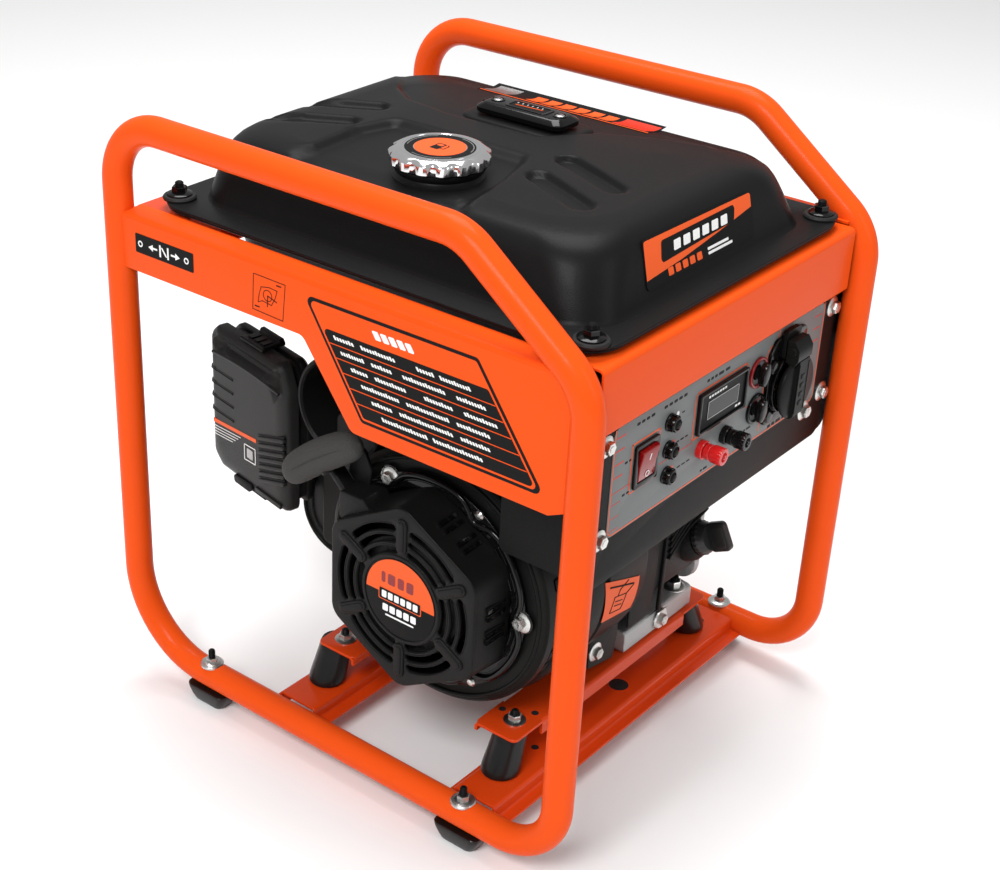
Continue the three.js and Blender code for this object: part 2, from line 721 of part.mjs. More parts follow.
// Camshaft below the crankshaft; its gear is twice the size of the crankshaft's.
function camshaft() {
  const z = CRANK.z - CAM_DROP;
  const shaft = postY(CRANK.x, z, [16, 108], 5, 5, 16);
  const gear = postY(CRANK.x, z, [88.5, 96.5], CAM_DROP - TIMING_R - 0.6, CAM_DROP - TIMING_R - 0.6, 32);
  const lobes = [postY(CRANK.x + 2, z, [18, 24], 9, 9, 16), postY(CRANK.x - 2, z, [100, 105], 9, 9, 16)];
  return carve(shaft, { add: [gear, ...lobes] });
}

function piston() {
  const crown = post(0, 0, [103, 149], BORE_R - 0.5, BORE_R - 0.5, 32);
  const hollow = post(0, 0, [102, 141], 29, 29, 24);
  const pin = postY(0, 122, [-31, 31], 7, 7, 14);
  const skirt = carve(crown, { cut: [hollow] });
  return onCylinder(carve(skirt, { add: [pin] }));
}

// Round housing of the fan and alternator, with the duct that leads air to the cylinder.
function blowerHousing() {
  const volute = (inset) => rounded([
    [-111 + inset, 117 + inset, 36 - inset],
    [-111 + inset, SHOULDER - inset],
    [-76 + inset, SHOULDER + 1 - inset],
    [-76 + inset, 235 - inset, 20 - inset],
    [CRANK.x, 235 - inset],
    [CRANK.x, 117 + inset],
  ]);
  const drum = postY(CRANK.x, CRANK.z, [DRUM_FRONT, -2], DRUM_R, DRUM_R, 48);
  const scroll = slabY(volute(0), -84, -5);
  const scrollIn = slabY(volute(3), -81, 0);
  const shelf = block([-72, CRANK.x], [-105, -80], [140, 232]);
  const shelfIn = block([-69, CRANK.x], [-102, -78], [143, 229]);
  const duct = postY(DUCT.x, DUCT.z, [-118, -48], 41, 31, 28);
  const bridge = block([-45, 10], [-112, -60], [222, 262]);
  const inside = postY(CRANK.x, CRANK.z, [DRUM_FRONT + 3, 0], DRUM_R - 3, DRUM_R - 3, 48);
  const ductIn = postY(DUCT.x, DUCT.z, [-119, -47], 38, 28, 28);
  const mouth = postY(CRANK.x, CRANK.z, [DRUM_FRONT - 2, DRUM_FRONT + 6], 78, 78, 48);
  return carve(drum, {
    add: [scroll, shelf, duct, bridge],
    cut: [inside, scrollIn, shelfIn, ductIn, mouth],
  });
}

function stator() {
  const ring = postY(CRANK.x, CRANK.z, [-52, 3 - GAP], 32, 32, 24);
  const teeth = [];
  for (let k = 0; k < 12; k += 1) {
    const tooth = block([30, 66], [-48, -14], [-6, 6]).rotateY((Math.PI * k) / 6);
    teeth.push(tooth.translate(CRANK.x, 0, CRANK.z));
  }
  const bore = postY(CRANK.x, CRANK.z, [-54, 4], 18, 18, 24);
  return carve(ring, { add: teeth, cut: [bore] });
}

// Magnet bell with the fan blades and the starter cup on its front.
function rotor() {
  const profile = [[10.3, -112], [34, -112], [34, -108], [20, -104], [20, -68], [84, -66]];
  profile.push([84, -10], [72, -10]);
  profile.push([72, -58], [10.3, -58], [10.3, -112]);
  const lathe = new THREE.LatheGeometry(profile.map(([r, y]) => new THREE.Vector2(r, y)), 32);
  const bell = carve(lathe.translate(CRANK.x, 0, CRANK.z));
  const blades = [];
  for (let k = 0; k < 12; k += 1) {
    const blade = block([38, 82], [-88, -64], [-1.5, 1.5]).rotateY((Math.PI * k) / 6 + 0.1);
    blades.push(blade.translate(CRANK.x, 0, CRANK.z));
  }
  return carve(bell, { add: blades });
}

function hexagon(flat, limit, y, sides = 36) {
  const points = [];
  for (let k = 0; k < sides; k += 1) {
    const angle = (2 * Math.PI * k) / sides;
    const off = ((angle + Math.PI / 6) % (Math.PI / 3)) - Math.PI / 6;
    const r = Math.min(limit, flat / Math.cos(off));
    points.push(new THREE.Vector3(CRANK.x + r * Math.cos(angle), y, CRANK.z + r * Math.sin(angle)));
  }
  return points;
}

// One arc-shaped slot of the starter's grille, centred on an angle.
function arcSlot(middle, radius, sweep, steps = 3) {
  const outline = [];
  for (let k = 0; k <= steps; k += 1) {
    const angle = middle - sweep / 2 + (sweep * k) / steps;
    outline.push(new THREE.Vector2(Math.cos(angle), Math.sin(angle)).multiplyScalar(radius + 2.6));
  }
  for (let k = steps; k >= 0; k -= 1) {
    const angle = middle - sweep / 2 + (sweep * k) / steps;
    outline.push(new THREE.Vector2(Math.cos(angle), Math.sin(angle)).multiplyScalar(radius - 2.6));
  }
  return slabY(outline, RECOIL_FACE - 2, RECOIL_FACE + 6).translate(CRANK.x, 0, CRANK.z);
}

// Recoil starter's cover: round flange, six-sided face with a slotted grille, rope guide.
function recoilCover() {
  const round = 200;
  const outer = [
    hexagon(round, 83.5, RECOIL_BACK - 2 - GAP),
    hexagon(round, 83.5, -131),
    hexagon(round, 79, -132),
    hexagon(66, 76, -152),
    hexagon(65.8, 74.5, RECOIL_FACE + 3),
    hexagon(62.5, 70.5, RECOIL_FACE),
  ];
  const inner = [
    hexagon(round, 76.5, RECOIL_BACK + 2),
    hexagon(round, 76.5, -132),
    hexagon(63, 73, -152),
    hexagon(62, 70, RECOIL_FACE + 3.5),
  ];
  const slots = [];
  for (let k = 0; k < 6; k += 1) {
    for (const radius of [39, 47.5, 56]) {
      slots.push(arcSlot((k * Math.PI) / 3, radius, THREE.MathUtils.degToRad(42)));
    }
  }
  const guide = block([-9, 12], [-158, -132], [210, 230]);
  const axle = postY(CRANK.x, CRANK.z, [RECOIL_FACE + 2, -138], 7, 7, 16);
  const shell = carve(loft(outer), { add: [guide], cut: [loft(inner), ...slots] });
  return carve(shell, { add: [axle] });
}

function recoilPulley() {
  const profile = [[7.4, -159], [PULLEY_R + 6, -159], [PULLEY_R + 6, -156], [PULLEY_R, -153]];
  profile.push([PULLEY_R, -147], [PULLEY_R + 6, -144], [PULLEY_R + 6, -141], [7.4, -141], [7.4, -159]);
  const lathe = new THREE.LatheGeometry(profile.map(([r, y]) => new THREE.Vector2(r, y)), 32);
  return carve(lathe.translate(CRANK.x, 0, CRANK.z));
}

// Bar grip with the short stem that rests on the rope guide.
function starterGrip() {
  const ring = (x, r) => circle(0, 0, r, 14).map((p) => (
    new THREE.Vector3(x, p.x, p.y - Math.cos(x / 30) * 3)
  ));
  const half = [ring(22, 12.5), ring(40, 10.5), ring(44, 7)];
  const bar = loft([ring(-44, 7), ring(-40, 10.5), ring(-22, 12.5), ring(0, 13), ...half]);
  const stem = post(0, 0, [-28, -8], 4, 7, 12);
  const grip = carve(bar, { add: [stem] });
  return grip.rotateY(-GRIP.tilt).translate(GRIP.x, GRIP.y, GRIP.z);
}

// Carburettor: mixing body, fuel bowl below and inlet towards the air filter.
function carburetor() {
  const body = block([-114, -80], [-30, 9 - GAP], [228, 262]);
  const bowl = post(-97, -11, [202, 230], 17, 17, 20);
  const inlet = postY(INTAKE.x, INTAKE.z, [-54, -28], 16, 16, 20);
  const throat = postY(INTAKE.x, INTAKE.z, [-56, 12], 11, 11, 20);
  return carve(body, { add: [bowl, inlet], cut: [throat] });
}

function chokeLever() {
  const hub = postX(-22, 255, [-124, -114 - GAP], 5, 5, 12);
  const arm = block([-122, -118], [-26, -18], [255, 292]);
  return carve(hub, { add: [arm] });
}

// Silencer on the far side, joined to the exhaust port by a short pipe.
function muffler() {
  const can = slabY(roundedRect([-135, 35], [222, 318], 26), 119, 161);
  const pipe = postY(-97, 244, [101.5, 122], 13, 13, 20);
  const outlet = postX(140, 296, [34, 52], 9, 9, 16);
  return carve(can, { add: [pipe, outlet], cut: [postX(140, 296, [30, 54], 7, 7, 16)] });
}

// Oil filler plug leaning out of the crankcase, with a flat wing to turn it by.
function oilFillerCap() {
  const plug = postX(0, 0, [7.5 + GAP, 18], 14, 11, 20);
  const wing = block([14, 35], [-3, 3], [-12.5, 12.5]);
  return onFiller(carve(plug, { add: [wing] }));
}

addPiece('crankcase', 'aluminium', crankcase());
addPiece('crankcase_cover', 'aluminium', crankcaseCover());
addPiece('cylinder_head', 'aluminium', cylinderHead());
addPiece('rocker_cover', 'black_metal', rockerCover());
addPiece('spark_plug', 'rubber', sparkPlug());
addPiece('crankshaft', 'steel', crankshaft());
addPiece('camshaft', 'steel', camshaft());
addPiece('piston', 'aluminium', piston());
addPiece('blower_housing', 'black_metal', blowerHousing());
addPiece('stator', 'copper', stator());
addPiece('rotor', 'steel', rotor());
addPiece('recoil_cover', 'black_plastic', recoilCover());
addPiece('recoil_pulley', 'black_plastic', recoilPulley());
addPiece('starter_grip', 'rubber', starterGrip());
addPiece('carburetor', 'aluminium', carburetor());
addPiece('choke_lever', 'black_plastic', chokeLever());
addPiece('muffler', 'steel', muffler());
addPiece('oil_filler_cap', 'black_plastic', oilFillerCap());

// ---------- air filter ----------
// Places a solid built square to the filter, whose front faces -Y before it is yawed.
function onFilter(geometry) {
  return geometry.rotateZ(FILTER_YAW).translate(FILTER_X, FILTER_Y, 0);
}

function filterOutline(inset) {
  return rounded([
    [-57 + inset, FILTER.low + inset, 14],
    [50 - inset, FILTER.low + inset, 8],
    [50 - inset, FILTER.high - 22, 14],
    [40 - inset, FILTER.high - inset, 10],
    [-57 + inset, FILTER.high - inset, 14],
  ], 3);
}

function filterCover() {
  const depth = FILTER.depth;
  const outer = [[6, 0], [2, 3], [0, 8], [0, depth]].map(([inset, y]) => (
    filterOutline(inset).map((p) => new THREE.Vector3(p.x, y, p.y))
  ));
  const shell = slabY(filterOutline(3), 3, depth + 1);
  return onFilter(carve(loft(outer.reverse()), { cut: [shell] }));
}

function filterBase() {
  const wall = slabY(filterOutline(1), FILTER.depth + GAP, FILTER.depth + 9);
  const plateBack = onFilter(wall);
  const port = postY(INTAKE.x, INTAKE.z, [-93, -54 - GAP], 20, 20, 20);
  const hole = postY(INTAKE.x, INTAKE.z, [-106, -50], 11, 11, 20);
  return carve(plateBack, { add: [port], cut: [hole] });
}

function filterElement() {
  const slab = slabY(roundedRect([-42, 42], [FILTER.low + 14, FILTER.high - 30], 6, 2), 8, FILTER.depth);
  return onFilter(slab);
}

// Spring clip that holds the cover: a plate hinged on the cover's edge.
function filterLatch(z, up) {
  const y0 = 4;
  const low = up ? z + GAP : z - 7 - GAP;
  const clip = block([-14, 14], [y0, y0 + 22], [low, low + 3]);
  const lip = block([-9, 9], [y0 + 16, y0 + 22], [low, low + 7].sort((a, b) => a - b));
  return onFilter(up ? carve(clip, { add: [lip] }) : carve(clip.translate(0, 0, 4), { add: [lip] }));
}

addPiece('air_filter_base', 'black_plastic', filterBase());
addPiece('air_filter_element', 'foam', filterElement());
addPiece('air_filter_cover', 'black_plastic', filterCover());
addPiece('filter_latch_top', 'black_plastic', filterLatch(FILTER.high, true));
addPiece('filter_latch_bottom', 'black_plastic', filterLatch(FILTER.low, false));

export default group;
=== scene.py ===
"""Looks of the portable generator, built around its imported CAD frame.

Sizes are in millimetres and become metres when a piece is made.
"""

import json
import math

import bmesh
import bpy
from mathutils import Matrix, Vector


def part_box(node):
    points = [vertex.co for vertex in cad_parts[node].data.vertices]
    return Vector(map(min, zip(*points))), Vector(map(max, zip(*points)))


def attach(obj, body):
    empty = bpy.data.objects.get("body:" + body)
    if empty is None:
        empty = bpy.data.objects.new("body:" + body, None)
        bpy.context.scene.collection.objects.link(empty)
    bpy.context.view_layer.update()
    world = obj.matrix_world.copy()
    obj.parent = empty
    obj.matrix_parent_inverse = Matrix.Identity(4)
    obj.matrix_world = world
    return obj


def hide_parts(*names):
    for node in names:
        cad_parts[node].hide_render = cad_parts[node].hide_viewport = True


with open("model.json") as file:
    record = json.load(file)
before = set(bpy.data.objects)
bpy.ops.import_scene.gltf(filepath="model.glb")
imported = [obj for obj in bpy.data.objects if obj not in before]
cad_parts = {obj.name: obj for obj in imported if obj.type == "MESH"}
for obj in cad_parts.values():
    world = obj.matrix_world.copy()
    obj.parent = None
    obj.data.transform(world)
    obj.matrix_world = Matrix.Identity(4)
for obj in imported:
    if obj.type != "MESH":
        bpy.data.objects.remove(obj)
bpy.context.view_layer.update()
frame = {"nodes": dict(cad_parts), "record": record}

MM = 0.001
TAU = 2 * math.pi


def box_mm(node):
    """Lowest and highest corner of a CAD node, in millimetres."""
    low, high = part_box(node)
    return Vector(low) / MM, Vector(high) / MM


# ---------- camera, floor and light ----------
def add_camera():
    data = bpy.data.cameras.new("camera")
    camera = bpy.data.objects.new("camera", data)
    bpy.context.collection.objects.link(camera)
    data.sensor_width = 36.0
    data.lens = 64.82
    data.shift_x = 0.1132
    data.shift_y = 0.0319
    azimuth = math.radians(39.95)
    elevation = math.radians(29.11)
    roll = math.radians(1.148)
    flat = math.cos(elevation)
    forward = Vector((-math.sin(azimuth) * flat, math.cos(azimuth) * flat, -math.sin(elevation)))
    level = forward.cross(Vector((0, 0, 1))).normalized()
    upright = level.cross(forward)
    right = level * math.cos(roll) + upright * math.sin(roll)
    up = upright * math.cos(roll) - level * math.sin(roll)
    turn = Matrix((right, up, -forward)).transposed().to_4x4()
    eye = Vector((0.7294, -0.9855, 0.8692))
    camera.matrix_world = Matrix.Translation(eye) @ turn
    bpy.context.scene.camera = camera


def add_light(name, place, aim, size, power):
    data = bpy.data.lights.new(name, "AREA")
    data.shape = "RECTANGLE"
    data.size, data.size_y = size
    data.energy = power
    light = bpy.data.objects.new(name, data)
    bpy.context.collection.objects.link(light)
    light.location = place
    light.rotation_euler = (Vector(aim) - Vector(place)).to_track_quat("-Z", "Y").to_euler()


def add_stage():
    data = bpy.data.meshes.new("floor")
    half = 6.0
    corners = [(-half, -half, 0), (half, -half, 0), (half, half, 0), (-half, half, 0)]
    data.from_pydata(corners, [], [(0, 1, 2, 3)])
    floor = bpy.data.objects.new("floor", data)
    bpy.context.collection.objects.link(floor)
    material = bpy.data.materials.new("floor")
    material.use_nodes = True
    shader = material.node_tree.nodes["Principled BSDF"]
    shader.inputs["Base Color"].default_value = (0.92, 0.92, 0.92, 1)
    shader.inputs["Roughness"].default_value = 0.75
    data.materials.append(material)
    world = bpy.data.worlds.new("studio")
    world.use_nodes = True
    background = world.node_tree.nodes["Background"]
    background.inputs["Color"].default_value = (1, 1, 1, 1)
    background.inputs["Strength"].default_value = 0.46
    bpy.context.scene.world = world
    add_light("key", (0.6, -2.0, 2.2), (0, 0, 0.25), (1.1, 0.8), 52)
    add_light("right", (2.3, 0.3, 1.5), (0, 0, 0.25), (0.7, 1.5), 9)
    add_light("top", (-0.4, 0.4, 2.6), (0, 0, 0.3), (1.5, 1.5), 56)
    bpy.context.scene.view_settings.view_transform = "Standard"


add_camera()
add_stage()


# ---------- finishes ----------
FINISH = {}


def finish(
    name, color, roughness, metallic=0.0, coat=0.0, grain=(900, 0.02), mottle=(14, 0.12), streak=0.0,
    shine=0.5
):
    """A procedural finish: fine grain in the bump, slow mottling in colour and roughness."""
    material = bpy.data.materials.new(name)
    material.use_nodes = True
    nodes = material.node_tree.nodes
    links = material.node_tree.links
    shader = nodes["Principled BSDF"]
    shader.inputs["Metallic"].default_value = metallic
    shader.inputs["Coat Weight"].default_value = coat
    shader.inputs["Coat Roughness"].default_value = 0.12
    shader.inputs["Specular IOR Level"].default_value = shine
    place = nodes.new("ShaderNodeTexCoord")
    slow = nodes.new("ShaderNodeTexNoise")
    slow.inputs["Scale"].default_value = mottle[0]
    slow.inputs["Detail"].default_value = 6
    links.new(place.outputs["Object"], slow.inputs["Vector"])
    tint = nodes.new("ShaderNodeMix")
    tint.data_type = "RGBA"
    tint.inputs["A"].default_value = [c * (1 - mottle[1]) for c in color] + [1]
    tint.inputs["B"].default_value = [min(1, c * (1 + mottle[1])) for c in color] + [1]
    links.new(slow.outputs["Fac"], tint.inputs["Factor"])
    links.new(tint.outputs["Result"], shader.inputs["Base Color"])
    spread = nodes.new("ShaderNodeMapRange")
    spread.inputs["To Min"].default_value = roughness * 0.85
    spread.inputs["To Max"].default_value = min(1, roughness * 1.18)
    links.new(slow.outputs["Fac"], spread.inputs["Value"])
    links.new(spread.outputs["Result"], shader.inputs["Roughness"])
    fine = nodes.new("ShaderNodeTexNoise")
    fine.inputs["Scale"].default_value = grain[0]
    fine.inputs["Detail"].default_value = 3
    if streak:
        stretch = nodes.new("ShaderNodeMapping")
        stretch.inputs["Scale"].default_value = (1, streak, streak)
        links.new(place.outputs["Object"], stretch.inputs["Vector"])
        links.new(stretch.outputs["Vector"], fine.inputs["Vector"])
    else:
        links.new(place.outputs["Object"], fine.inputs["Vector"])
    bump = nodes.new("ShaderNodeBump")
    bump.inputs["Strength"].default_value = grain[1] * 10
    bump.inputs["Distance"].default_value = 0.0004
    links.new(fine.outputs["Fac"], bump.inputs["Height"])
    links.new(bump.outputs["Normal"], shader.inputs["Normal"])
    FINISH[name] = material


finish("orange", (0.78, 0.08, 0.008), 0.3, coat=0.04, grain=(420, 0.012), mottle=(6, 0.05), shine=0.05)
# Darker copy of the orange paint, used as painted shade on the rear rail and on the members and bearers low
# under the machine.
finish("orange_shaded", (0.62, 0.05, 0.005), 0.24, coat=0.12, grain=(420, 0.02), mottle=(9, 0.1), shine=0.2)
finish("tank", (0.0075, 0.0075, 0.0078), 0.36, coat=0.01, grain=(1500, 0.03), mottle=(8, 0.15), shine=0.08)
finish("box_black", (0.0075, 0.0075, 0.0073), 0.4, grain=(1700, 0.05), mottle=(12, 0.15), shine=0.08)
finish("plastic", (0.0075, 0.0075, 0.0073), 0.36, grain=(1900, 0.05), mottle=(18, 0.12), shine=0.12)
finish("gloss", (0.003, 0.003, 0.0032), 0.14, coat=0.14, grain=(300, 0.002), mottle=(10, 0.1), shine=0.2)
finish("satin", (0.008, 0.0086, 0.008), 0.34, grain=(700, 0.02), mottle=(14, 0.15), shine=0.07)
finish("rubber", (0.007, 0.007, 0.0068), 0.6, grain=(900, 0.08), mottle=(30, 0.25), shine=0.3)
finish("zinc", (0.62, 0.62, 0.6), 0.28, metallic=1, grain=(800, 0.03), mottle=(90, 0.15))
finish("steel", (0.42, 0.42, 0.42), 0.34, metallic=1, grain=(500, 0.03), mottle=(30, 0.15), streak=8)
finish("polished", (0.78, 0.78, 0.79), 0.14, metallic=1, grain=(200, 0.01), mottle=(60, 0.06))
finish("cast", (0.42, 0.43, 0.43), 0.46, metallic=0.85, grain=(650, 0.12), mottle=(40, 0.22))
finish("grey", (0.165, 0.175, 0.176), 0.42, coat=0.02, grain=(2500, 0.015), mottle=(20, 0.05), shine=0.2)
finish("ink_orange", (0.78, 0.1, 0.015), 0.4, grain=(900, 0.01), mottle=(20, 0.04), shine=0.2)
finish("ink_red", (0.62, 0.03, 0.012), 0.4, grain=(900, 0.01), mottle=(20, 0.04), shine=0.2)
# Black for print and threads; laid in gaps, grooves, openings and slots it is painted shade.
finish("black_and_shade", (0.006, 0.006, 0.006), 0.42, grain=(900, 0.01), mottle=(20, 0.1), shine=0.08)
finish("ink_white", (0.8, 0.8, 0.79), 0.4, grain=(900, 0.01), mottle=(20, 0.03))
finish("red", (0.55, 0.01, 0.01), 0.18, coat=0.35, grain=(300, 0.003), mottle=(20, 0.08), shine=0.4)
finish("rocker_red", (0.24, 0.002, 0.003), 0.12, coat=0.2, grain=(300, 0.003), mottle=(20, 0.08), shine=0.2)
finish("ring_red", (0.22, 0.004, 0.006), 0.25, coat=0.2, grain=(300, 0.003), mottle=(20, 0.08), shine=0.35)
finish("copper", (0.5, 0.18, 0.07), 0.35, metallic=0.9, grain=(700, 0.1), mottle=(60, 0.2), streak=4)
finish("foam", (0.06, 0.06, 0.05), 0.95, grain=(420, 0.3), mottle=(200, 0.5))
finish("grip", (0.03, 0.03, 0.028), 0.72, grain=(1400, 0.22), mottle=(60, 0.2))
finish("filter_black", (0.017, 0.017, 0.0165), 0.36, grain=(2200, 0.05), mottle=(16, 0.12), shine=0.16)
finish("case_black", (0.008, 0.008, 0.0078), 0.44, grain=(800, 0.08), mottle=(22, 0.2), shine=0.13)
finish("mount_rubber", (0.005, 0.005, 0.005), 0.3, coat=0.1, grain=(500, 0.02), mottle=(18, 0.2), shine=0.3)
finish("cap_grey", (0.02, 0.021, 0.021), 0.34, coat=0.1, grain=(900, 0.03), mottle=(18, 0.15), shine=0.4)
# Near-black for the holes in the members and bearers: painted shade inside the holes.
finish("hole_shade", (0.004, 0.002, 0.002), 0.8, grain=(500, 0.02), mottle=(18, 0.2))


# ---------- shapes: each is a list of points and a list of faces ----------
def rounded(corners, steps=6):
    """An outline through the corners (x, y, radius), each rounded by an arc."""
    points = []
    count = len(corners)
    for i, corner in enumerate(corners):
        here = Vector(corner[:2])
        radius = corner[2] if len(corner) > 2 else 0
        if not radius:
            points.append(here)
            continue
        back = (Vector(corners[i - 1][:2]) - here).normalized()
        ahead = (Vector(corners[(i + 1) % count][:2]) - here).normalized()
        half = math.acos(max(-1, min(1, back.dot(ahead)))) / 2
        centre = here + (back + ahead).normalized() * (radius / math.sin(half))
        start = here + back * (radius / math.tan(half)) - centre
        side = 1 if back.x * ahead.y - back.y * ahead.x > 0 else -1
        for k in range(steps + 1):
            angle = -side * (math.pi - 2 * half) * k / steps
            c, s = math.cos(angle), math.sin(angle)
            points.append(Vector((start.x * c - start.y * s, start.x * s + start.y * c)) + centre)
    return points


def rect(x0, x1, y0, y1, radius=0, steps=6):
    return rounded([(x0, y0, radius), (x1, y0, radius), (x1, y1, radius), (x0, y1, radius)], steps)


def ring(x, y, radius, sides=48):
    return [
        Vector((x + radius * math.cos(TAU * k / sides), y + radius * math.sin(TAU * k / sides)))
        for k in range(sides)
    ]


def flat(loops, low, high, bevel=0.0):
    """A plate between two heights whose outline and holes are the loops, with rounded edges."""
    curve = bpy.data.curves.new("flat", "CURVE")
    curve.dimensions = "2D"
    curve.fill_mode = "BOTH"
    curve.extrude = max((high - low) / 2 - bevel, 0.0001)
    curve.bevel_depth = bevel
    curve.bevel_resolution = 2
    curve.offset = -bevel
    for loop in loops:
        spline = curve.splines.new("POLY")
        spline.points.add(len(loop) - 1)
        for point, at in zip(spline.points, loop):
            point.co = (at[0], at[1], 0, 1)
        spline.use_cyclic_u = True
    holder = bpy.data.objects.new("flat", curve)
    bpy.context.collection.objects.link(holder)
    bpy.context.view_layer.update()
    mesh = bpy.data.meshes.new_from_object(holder.evaluated_get(bpy.context.evaluated_depsgraph_get()))
    welded = bmesh.new()
    welded.from_mesh(mesh)
    bmesh.ops.remove_doubles(welded, verts=welded.verts, dist=0.001)
    verts = [Vector((v.co.x, v.co.y, v.co.z + (low + high) / 2)) for v in welded.verts]
    faces = [[v.index for v in f.verts] for f in welded.faces]
    welded.free()
    bpy.data.objects.remove(holder)
    bpy.data.curves.remove(curve)
    bpy.data.meshes.remove(mesh)
    return verts, faces


def loft(rings, closed=False, caps=True):
    """A skin over rings of equal length; closed joins the last ring to the first."""
    count = len(rings[0])
    verts = [Vector(p) for r in rings for p in r]
    faces = []
    last = len(rings) if closed else len(rings) - 1
    for i in range(last):
        j = (i + 1) % len(rings)
        for k in range(count):
            n = (k + 1) % count
            faces.append([i * count + k, i * count + n, j * count + n, j * count + k])
    if caps and not closed:
        faces.append(list(range(count))[::-1])
        faces.append([(len(rings) - 1) * count + k for k in range(count)])
    return verts, faces


def level(outline, z):
    return [Vector((p[0], p[1], z)) for p in outline]


def lathe(profile, sides=48):
    """A solid of revolution about Z from a profile (radius, height), listed from the bottom up."""
    rings = []
    for radius, z in profile:
        r = max(radius, 0.001)
        rings.append(
            [
                Vector((r * math.cos(TAU * k / sides), r * math.sin(TAU * k / sides), z))
                for k in range(sides)
            ]
        )
    return loft(rings)


def polar(radius, degrees):
    a = math.radians(degrees)
    return radius * math.cos(a), radius * math.sin(a)


def hollow(profile, sides):
    """A ring of revolution about Z whose profile (radius, height) closes on itself."""
    rings = [[Vector((*polar(r, 360 / sides * k), z)) for k in range(sides)] for r, z in profile]
    return loft(rings, closed=True)


def turned(sections, sides, radius_at):
    """A solid about Z; each section ends in its height, and radius_at gives its radius at an angle."""
    rings = []
    for section in sections:
        ring_points = []
        for k in range(sides):
            a = TAU * k / sides
            r = radius_at(section, a)
            ring_points.append(Vector((r * math.cos(a), r * math.sin(a), section[-1])))
        rings.append(ring_points)
    return loft(rings)


def tube(path, radius, sides=32, closed=False):
    """A round tube along points; radius is one number or one for each point."""
    count = len(path)
    path = [Vector(p) for p in path]
    radii = radius if isinstance(radius, (list, tuple)) else [radius] * count
    rings = []
    normal = None
    for i, here in enumerate(path):
        before = path[i - 1] if closed or i else here
        after = path[(i + 1) % count] if closed or i + 1 < count else here
        back = (here - before).normalized()
        ahead = (after - here).normalized()
        along = (back + ahead).normalized()
        if normal is None:
            normal = along.orthogonal().normalized()
        normal = (normal - along * normal.dot(along)).normalized()
        side = along.cross(normal)
        rings.append(
            [
                here + (normal * math.cos(TAU * k / sides) + side * math.sin(TAU * k / sides)) * radii[i]
                for k in range(sides)
            ]
        )
    return loft(rings, closed=closed)


def block(x0, x1, y0, y1, z0, z1):
    return loft([level([(x0, y0), (x1, y0), (x1, y1), (x0, y1)], z) for z in (z0, z1)])


def place(origin, x_axis, y_axis):
    """The matrix that puts a shape's X and Y along two directions at an origin."""
    x = Vector(x_axis).normalized()
    z = x.cross(Vector(y_axis)).normalized()
    y = z.cross(x)
    matrix = Matrix((x, y, z)).transposed().to_4x4()
    matrix.translation = Vector(origin)
    return matrix


# Outlines in XZ raised towards -Y, in YZ raised towards +X and towards -X, and in XZ raised towards +Y.
NEAR = place((0, 0, 0), (1, 0, 0), (0, 0, 1))
FRONT = place((0, 0, 0), (0, 1, 0), (0, 0, 1))
REAR = place((0, 0, 0), (0, -1, 0), (0, 0, 1))
FAR = Matrix(((1, 0, 0, 0), (0, 0, 1, 0), (0, 1, 0, 0), (0, 0, 0, 1)))


def capsule(x0, y0, x1, y1, width, steps=10):
    """Outline of a slot with round ends between two centres."""
    start = Vector((x0, y0))
    end = Vector((x1, y1))
    angle = math.atan2(y1 - y0, x1 - x0)
    points = []
    for centre, turn in ((end, -math.pi / 2), (start, math.pi / 2)):
        for k in range(steps + 1):
            a = angle + turn + math.pi * k / steps
            points.append(centre + Vector((math.cos(a), math.sin(a))) * width / 2)
    return points


def arc_slot(radius, width, middle, sweep, steps=18):
    """Outline of a curved slot around the origin; angles in degrees."""
    start = math.radians(middle - sweep / 2)
    end = math.radians(middle + sweep / 2)
    points = []
    for k in range(steps + 1):
        a = start + (end - start) * k / steps
        points.append(Vector((math.cos(a), math.sin(a))) * (radius + width / 2))
    tip = Vector((math.cos(end), math.sin(end))) * radius
    for k in range(1, 6):
        a = end + math.pi * k / 6
        points.append(tip + Vector((math.cos(a), math.sin(a))) * width / 2)
    for k in range(steps + 1):
        a = end + (start - end) * k / steps
        points.append(Vector((math.cos(a), math.sin(a))) * (radius - width / 2))
    tip = Vector((math.cos(start), math.sin(start))) * radius
    for k in range(1, 6):
        a = start + math.pi + math.pi * k / 6
        points.append(tip + Vector((math.cos(a), math.sin(a))) * width / 2)
    return points


def wall(outline_low, outline_high, low, high, thick):
    """An upright wall of even thickness between two outlines of equal length around the origin."""
    def inner(outline):
        return [p * (1 - thick / p.length) for p in outline]
    rings = [
        level(outline_low, low), level(outline_high, high),
        level(inner(outline_high), high), level(inner(outline_low), low),
    ]
    return loft(rings, closed=True)


def extrude_x(section, x0, x1):
    """A prism along X whose section is a list of (y, z)."""
    return loft([[Vector((x, p[0], p[1])) for p in section] for x in (x0, x1)])


def extrude_y(section, y0, y1):
    """A prism along Y whose section is a list of (x, z)."""
    return loft([[Vector((p[0], y, p[1])) for p in section] for y in (y0, y1)])


def smooth(t):
    t = max(0.0, min(1.0, t))
    return t * t * (3 - 2 * t)


def along(points, t):
    """Value of a piecewise straight line through (position, value) points."""
    if t <= points[0][0]:
        return points[0][1]
    for (a, va), (b, vb) in zip(points, points[1:]):
        if t <= b:
            return va + (vb - va) * (t - a) / (b - a)
    return points[-1][1]


